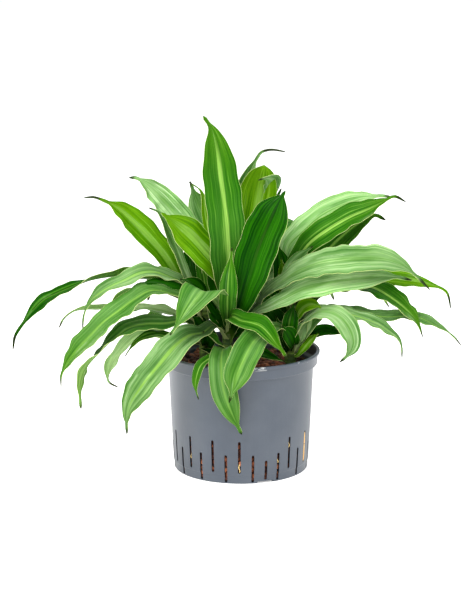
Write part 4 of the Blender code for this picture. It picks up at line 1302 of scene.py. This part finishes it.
@dataclass
class CulturePot:
    """The slotted pot: a turned wall with rounded corners, its slots and two notches."""
    height: float = 190.0
    base_radius: float = 105.5
    step_height: float = 13.0
    step_depth: float = 0.8
    body_top_radius: float = 115.0
    band_height: float = 21.0
    band_radius: float = 121.0
    lip_radius: float = 124.5
    lip_height: float = 4.0
    wall: float = 2.0
    floor: float = 4.5
    sides: int = 192
    slot_count: int = 32
    slot_width: float = 4.3
    first_angle: float = -1.4
    high_slot: tuple[float, float] = (17.3, 69.0)
    low_slot: tuple[float, float] = (2.0, 46.5)
    short_slot: tuple[float, float] = (5.0, 36.5)
    short_numbers: tuple[int, int] = (2, 18)
    notch: tuple[float, float, float] = (26.0, 28.0, 6.0)
    slot_depth: float = 40.0
    slot_round: float = 0.48
    sharp_angle: float = 35.0
    bevel_angle: float = 25.0
    bevel_from: float = 5.0
    bevel_size: float = 0.35

    @property
    def band_foot(self) -> float:
        """The height at which the rim band begins."""
        return self.height - self.band_height

    @property
    def mouth_height(self) -> float:
        """The height just over the foot of the rolled lip."""
        return self.height - self.lip_height + 0.5

    @property
    def bore(self) -> float:
        """The radius inside the rim band."""
        return self.band_radius - self.wall

    def wall_radius(self, height: float) -> float:
        """Finds the outer radius of the tapered body.

        Args:
            height: The height, in millimetres.

        Returns:
            The radius there.
        """
        share = (height - self.step_height) / (self.band_foot - self.step_height)
        foot = self.base_radius + 2 * self.step_depth
        return foot + (self.body_top_radius - foot) * share

    def slot_turn(self, number: int) -> Matrix:
        """Returns the turn from the front of the pot to a slot."""
        angle = math.radians(self.first_angle + 360.0 / self.slot_count * number)
        return Matrix.Rotation(angle, 4, "Z")

    def _profile(self) -> list[tuple[float, float]]:
        """Draws the outline, from the middle of the base, up the outside and down the inside.

        Returns:
            Its points as radius and height.
        """
        band = self.band_foot
        lip = self.height - self.lip_height
        inside = self.bore
        return [(0, 0), (self.base_radius - 1, 0), (self.base_radius, 1),
                (self.base_radius + self.step_depth, self.step_height),
                (self.base_radius + 2 * self.step_depth, self.step_height + 1),
                (self.wall_radius(70), 70), (self.wall_radius(120), 120),
                (self.body_top_radius, band - 1), (self.band_radius - 1, band),
                (self.band_radius, band + 1.5), (self.band_radius + 0.6, lip - 0.6),
                (self.lip_radius, lip + 0.4), (self.lip_radius, self.height - 0.8),
                (self.lip_radius - 0.8, self.height), (inside + 0.6, self.height), (inside, lip),
                (inside, band + 2.5), (self.body_top_radius - self.wall, band - 0.5),
                (self.wall_radius(90) - self.wall, 90),
                (self.wall_radius(self.floor) - self.wall - 0.6, self.floor), (0, self.floor)]

    def _cutter(self, number: int, size: tuple[float, float, float], middle: float,
                round_ends: bool) -> bpy.types.Object:
        """Makes the block that cuts one slot or notch.

        Args:
            number: The slot's number round the pot.
            size: The block's width, depth and height in millimetres.
            middle: The height of its middle.
            round_ends: Whether its top and bottom are rounded.

        Returns:
            The cutter.
        """
        shape = bmesh.new()
        bmesh.ops.create_cube(shape, size=MM)
        bmesh.ops.scale(shape, vec=size, verts=shape.verts)
        if round_ends:
            along = [edge for edge in shape.edges
                     if abs(edge.verts[0].co.y - edge.verts[1].co.y) > size[1] * MM / 2]
            bmesh.ops.bevel(shape, geom=along, offset=size[0] * MM * self.slot_round,
                            offset_type="OFFSET", segments=4, profile=0.5, affect="EDGES", material=-1)
        bmesh.ops.translate(shape, vec=Vector((0, -self.base_radius, middle)) * MM, verts=shape.verts)
        bmesh.ops.transform(shape, matrix=self.slot_turn(number), verts=shape.verts)
        bmesh.ops.recalc_face_normals(shape, faces=shape.faces)
        return new_piece(f"cutter_{number}", shape)

    def build(self) -> bpy.types.Object:
        """Turns the wall and cuts the slots and notches.

        Returns:
            The undressed pot.
        """
        turn = math.radians(self.first_angle - 90) + math.pi / self.sides
        shape = lathe(self._profile(), self.sides, turn)
        sharp = [edge for edge in shape.edges
                 if edge.calc_face_angle(0.0) > math.radians(self.bevel_angle)
                 and edge.verts[0].co.z > self.bevel_from * MM]
        bmesh.ops.bevel(shape, geom=sharp, offset=self.bevel_size * MM, offset_type="OFFSET", segments=2,
                        profile=0.5, affect="EDGES", material=-1)
        pot = new_piece("slotted_pot", shape, self.sharp_angle)
        cutters = bpy.data.collections.new("pot_cutters")
        for number in range(self.slot_count):
            low, high = self.high_slot if number % 2 == 0 else self.low_slot
            if number in self.short_numbers:
                low, high = self.short_slot
                cutters.objects.link(self._cutter(number, self.notch, 0.0, False))
            size = (self.slot_width, self.slot_depth, high - low)
            cutters.objects.link(self._cutter(number, size, (low + high) / 2, True))
        cut = pot.modifiers.new("slots", "BOOLEAN")
        cut.operation = "DIFFERENCE"
        cut.solver = "EXACT"
        cut.operand_type = "COLLECTION"
        cut.collection = cutters
        settle_modifiers(pot)
        for cutter in list(cutters.objects):
            bpy.data.objects.remove(cutter, do_unlink=True)
        bpy.data.collections.remove(cutters)
        pot.data.set_sharp_from_angle(angle=math.radians(self.sharp_angle))
        return pot

    def dress(self, piece: bpy.types.Object, skin: bpy.types.Material) -> None:
        """Gives the pot its plastic and its place in the frame.

        Args:
            piece: The undressed piece.
            skin: Its material.
        """
        piece.data.materials.clear()
        piece.data.materials.append(skin)
        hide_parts("culture_pot")
        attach(piece, "root")


@dataclass
class ClayFill:
    """The pot's fill: a dark core, pebbles against the slotted wall, and pebbles on top."""
    pot: CulturePot
    top: float = 165.0
    gap: float = 0.6
    pebble_radius: float = 5.9
    top_pitch: float = 10.2
    wall_rows: int = 8
    wall_pitch: float = 10.6
    wall_rise: float = 0.92
    wall_sizes: tuple[float, float] = (0.78, 0.98)
    top_rows: range = range(-13, 14)
    top_sizes: tuple[float, float] = (0.75, 1.12)
    top_levels: tuple[float, float] = (-3.0, 2.5)
    jitter: float = 2.2
    turn_jitter: float = 0.16
    level_jitter: float = 1.6
    lumpiness: float = 0.22
    lumps: float = 260.0
    rootlet_radius: float = 0.75
    rootlet_steps: int = 14
    rootlet_tone: float = 2.0
    rootlets: tuple[tuple[int, float, float, float], ...] = (
        (0, 17.5, 31.0, 0.9), (-4, 32.0, 43.0, -1.1), (4, 51.0, 62.0, 1.0), (3, 30.0, 36.0, 0.6))
    seed: int = 21

    def _add_row(self, shape: bmesh.types.BMesh, places: Sequence[tuple[Vector, float]],
                 draw: random.Random) -> None:
        """Adds a row of lumpy pebbles.

        Args:
            shape: The bmesh that takes them.
            places: Each one's middle and mean radius, in millimetres.
            draw: Where their random forms come from.
        """
        row = bmesh.new()
        layer = row.verts.layers.float_color.new(TONE_LAYER)
        for place, radius in places:
            self._add_pebble(row, layer, place, radius, draw)
        take_in(shape, row)

    def _add_pebble(self, shape: bmesh.types.BMesh, layer: bmesh.types.BMLayerItem, place: Vector,
                    radius: float, draw: random.Random) -> None:
        """Adds one lumpy pebble.

        Args:
            shape: The bmesh that takes it.
            layer: Where its tone is kept.
            place: Its middle, in millimetres.
            radius: Its mean radius, in millimetres.
            draw: Where its random form comes from.
        """
        turn = Matrix.Rotation(draw.uniform(0, math.tau), 4, Vector((draw.random(), draw.random(), 1.0)))
        squash = (draw.uniform(0.9, 1.15), draw.uniform(0.85, 1.05), draw.uniform(0.75, 0.95), 1.0)
        matrix = Matrix.Translation(place * MM) @ turn @ Matrix.Diagonal(squash)
        lump = bmesh.ops.create_icosphere(shape, subdivisions=2, radius=radius * MM, matrix=matrix)
        tone = draw.random()
        for vert in lump["verts"]:
            vert[layer] = (tone, tone, tone, 1.0)
            swell = 1.0 + self.lumpiness * noise.noise(vert.co * self.lumps)
            vert.co = place * MM + (vert.co - place * MM) * swell

    def _add_rootlet(self, shape: bmesh.types.BMesh, number: int, low: float, high: float,
                     sway: float) -> None:
        """Adds one fine pale root that shows in a slot.

        Args:
            shape: The bmesh that takes it.
            number: The slot's number round the pot.
            low: Where it comes out, in millimetres.
            high: Where it goes back in, in millimetres.
            sway: How far it bends to the sides, in millimetres.
        """
        pot = self.pot
        points = []
        for step in range(self.rootlet_steps + 1):
            share = step / self.rootlet_steps
            height = low + (high - low) * share
            depth = pot.wall_radius(height) - pot.wall * (1.6 - 1.3 * math.sin(math.pi * share))
            points.append(Vector((sway * math.sin(math.tau * share), -depth, height)) * MM)
        thread = tube(points, [self.rootlet_radius * MM] * len(points), 8)
        set_tone(thread, self.rootlet_tone)
        bmesh.ops.transform(thread, matrix=pot.slot_turn(number), verts=thread.verts)
        take_in(shape, thread)

    def build(self) -> bpy.types.Object:
        """Fills the pot.

        Returns:
            The fill as one undressed piece.
        """
        draw = random.Random(self.seed)
        shape = lathe(self._core_profile(), 64)
        set_tone(shape, 0.0)
        for row in range(self.wall_rows):
            self._add_row(shape, self._wall_places(row, draw), draw)
        for row in self.top_rows:
            self._add_row(shape, self._top_places(row, draw), draw)
        for rootlet in self.rootlets:
            self._add_rootlet(shape, *rootlet)
        return new_piece("clay_pebbles", shape, 75.0)

    def _inner_radius(self, height: float) -> float:
        """Returns how wide the fill is at a height, just inside the pot's wall."""
        return self.pot.wall_radius(height) - self.pot.wall - self.gap

    def _core_profile(self) -> list[tuple[float, float]]:
        """Draws the core's outline, set back behind the pebbles that show in the slots.

        Returns:
            Its points as radius and height.
        """
        pot = self.pot
        shell = self.pebble_radius
        foot = self._inner_radius(pot.floor)
        brim = self._inner_radius(self.top)
        return [(0, pot.floor + 0.3), (foot - 0.6, pot.floor + 0.3), (foot - 0.3, pot.floor + 4),
                (foot - shell, pot.floor + 6), (pot.wall_radius(84) - pot.wall - shell, 84),
                (self._inner_radius(90), 92), (brim, self.top - 5), (brim - 6, self.top - 4),
                (0, self.top - 3)]

    def _wall_places(self, row: int, draw: random.Random) -> list[tuple[Vector, float]]:
        """Places one ring of pebbles against the wall.

        Args:
            row: The ring's number, from the floor up.
            draw: Where the random shifts come from.

        Returns:
            Each pebble's middle and mean radius, in millimetres.
        """
        pot = self.pot
        shell = self.pebble_radius
        height = pot.floor + shell + row * self.wall_pitch * self.wall_rise
        radius = pot.wall_radius(height) - pot.wall - shell - 0.3
        count = round(math.tau * radius / self.wall_pitch)
        places = []
        for step in range(count):
            moved = step + 0.5 * (row % 2) + draw.uniform(-self.turn_jitter, self.turn_jitter)
            angle = math.tau * moved / count
            size = shell * draw.uniform(*self.wall_sizes)
            deep = radius - draw.uniform(0.0, self.jitter)
            level = height + draw.uniform(-self.level_jitter, self.level_jitter)
            level = max(level, pot.floor + size * 1.1)
            places.append((Vector((math.sin(angle) * deep, -math.cos(angle) * deep, level)), size))
        return places

    def _top_places(self, row: int, draw: random.Random) -> list[tuple[Vector, float]]:
        """Places one row of pebbles on top, where there is no stem.

        Args:
            row: The row's number, from the front to the back.
            draw: Where the random shifts come from.

        Returns:
            Each pebble's middle and mean radius, in millimetres.
        """
        brim = self._inner_radius(self.top)
        jitter = self.jitter
        places = []
        for column in self.top_rows:
            x = (column + 0.5 * (row % 2)) * self.top_pitch + draw.uniform(-jitter, jitter)
            y = row * self.top_pitch * math.sqrt(3) / 2 + draw.uniform(-jitter, jitter)
            size = self.pebble_radius * draw.uniform(*self.top_sizes)
            stems = [math.hypot(x - shoot.foot[0], y - shoot.foot[1]) - shoot.radius for shoot in SHOOTS]
            if math.hypot(x, y) <= brim - size * 1.15 and min(stems) >= size * 0.7:
                places.append((Vector((x, y, self.top + draw.uniform(*self.top_levels))), size))
        return places

    def dress(self, piece: bpy.types.Object, skin: bpy.types.Material) -> None:
        """Gives the fill its clay and its place in the frame.

        Args:
            piece: The undressed piece.
            skin: Its material.
        """
        piece.data.materials.append(skin)
        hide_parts("clay_granulate")
        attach(piece, "root")


@dataclass
class SlotRoots:
    """The thick tan root in one slot."""
    pot: CulturePot
    number: int = 6
    radius: float = 1.5
    heights: tuple[float, float] = (19.5, 66.5)
    bow: float = 0.25
    steps: int = 40

    def build(self) -> bpy.types.Object:
        """Grows the thick root.

        Returns:
            The undressed root.
        """
        low, high = self.heights
        points = []
        radii = []
        for step in range(self.steps + 1):
            share = step / self.steps
            height = low + (high - low) * share
            depth = -self.pot.wall_radius(height) + self.pot.wall + 0.3 - self.radius
            knobs = 1.0 + 0.06 * math.sin(29.0 * share) + 0.04 * math.sin(67.0 * share + 1.0)
            ends = math.sqrt(max(1 - (2 * share - 1) ** 8, 0.15))
            points.append(Vector((self.bow * math.sin(5 * share), depth, height)) * MM)
            radii.append(self.radius * MM * 0.94 * knobs * ends)
        shape = tube(points, radii, 16)
        bmesh.ops.transform(shape, matrix=self.pot.slot_turn(self.number), verts=shape.verts)
        return new_piece("thick_root", shape)

    def dress(self, piece: bpy.types.Object, skin: bpy.types.Material) -> None:
        """Gives the root its skin and its place in the frame.

        Args:
            piece: The undressed piece.
            skin: Its material.
        """
        piece.data.materials.append(skin)
        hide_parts("root_in_slot")
        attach(piece, "root")


@dataclass
class Studio:
    """The white floor, the soft lights and the camera at the photograph's viewing angle."""
    elevation: float = 12.7
    distance: float = 3.5
    focal_pixels: float = 2228.0
    picture_height: float = 600.0
    target: Place = (-0.0055, 0.0, 0.269)
    sensor: float = 36.0
    floor_half: float = 9.0
    surround: float = 0.6
    lit_point: Place = (0.0, 0.0, 0.3)
    lights: tuple[tuple[str, Place, float, float, Colour], ...] = (
        ("key_light", (-0.7, -1.5, 2.2), 1.8, 104.0, WHITE),
        ("side_light", (2.2, -0.9, 1.5), 1.3, 26.0, WHITE),
        ("back_light", (0.3, 2.2, 2.4), 1.8, 45.0, WHITE),
        ("warm_light", (-2.4, -0.5, 0.7), 1.0, 26.0, (1.0, 0.86, 0.68)))

    def build_floor(self) -> bpy.types.Object:
        """Lays the floor.

        Returns:
            The floor.
        """
        shape = bmesh.new()
        bmesh.ops.create_grid(shape, x_segments=4, y_segments=4, size=self.floor_half)
        floor = new_piece("studio_floor", shape)
        floor.data.materials.append(PaperWhite().material())
        return floor

    def hang_light(self, name: str, place: Place, size: float, power: float, colour: Colour) -> None:
        """Hangs a square soft light that faces the plant.

        Args:
            name: The light's name.
            place: Where it hangs, in metres.
            size: Its side, in metres.
            power: Its power in watts.
            colour: Its colour.
        """
        light = bpy.data.lights.new(name, "AREA")
        light.size = size
        light.energy = power
        light.color = colour
        lamp = bpy.data.objects.new(name, light)
        lamp.location = place
        away = Vector(place) - Vector(self.lit_point)
        lamp.rotation_euler = away.to_track_quat("Z", "Y").to_euler()
        bpy.context.scene.collection.objects.link(lamp)

    def light(self) -> None:
        """Sets the white surround and the lights."""
        world = bpy.data.worlds.new("studio_surround")
        world.use_nodes = True
        sky = world.node_tree.nodes["Background"]
        sky.inputs["Color"].default_value = (*WHITE, 1.0)
        sky.inputs["Strength"].default_value = self.surround
        scene = bpy.context.scene
        scene.world = world
        scene.view_settings.view_transform = "Standard"
        scene.view_settings.look = "None"
        for row in self.lights:
            self.hang_light(*row)

    def place_camera(self) -> None:
        """Puts the camera where the photograph was taken from."""
        tilt = math.radians(self.elevation)
        camera_data = bpy.data.cameras.new("photo_camera")
        camera_data.sensor_width = self.sensor
        camera_data.lens = self.focal_pixels * self.sensor / self.picture_height
        camera = bpy.data.objects.new("photo_camera", camera_data)
        back = Vector((0.0, -math.cos(tilt), math.sin(tilt)))
        camera.location = Vector(self.target) + self.distance * back
        camera.rotation_euler = (math.pi / 2 - tilt, 0.0, 0.0)
        bpy.context.scene.collection.objects.link(camera)
        bpy.context.scene.camera = camera


def report(piece: bpy.types.Object) -> None:
    """Logs a piece's name and how many triangles it has."""
    triangles = sum(len(polygon.vertices) - 2 for polygon in piece.data.polygons)
    log.info("%s: %d triangles", piece.name, triangles)


def main() -> None:
    """Builds and dresses every piece, then sets the studio."""
    logging.basicConfig(level=logging.INFO, format="%(message)s")
    pot = CulturePot()
    skins = (UPPER.material(), UNDER.material(), StemFinish().material())
    parts = [(pot, PotPlastic(pot).material()), (ClayFill(pot), FiredClay().material()),
             (SlotRoots(pot), RootSkin().material())]
    parts += [(LeafyShoot(shoot, number), skins) for number, shoot in enumerate(SHOOTS)]
    for part, skin in parts:
        piece = part.build()
        part.dress(piece, skin)
        report(piece)
    studio = Studio()
    studio.build_floor()
    studio.light()
    studio.place_camera()


if __name__ == "__main__":
    main()
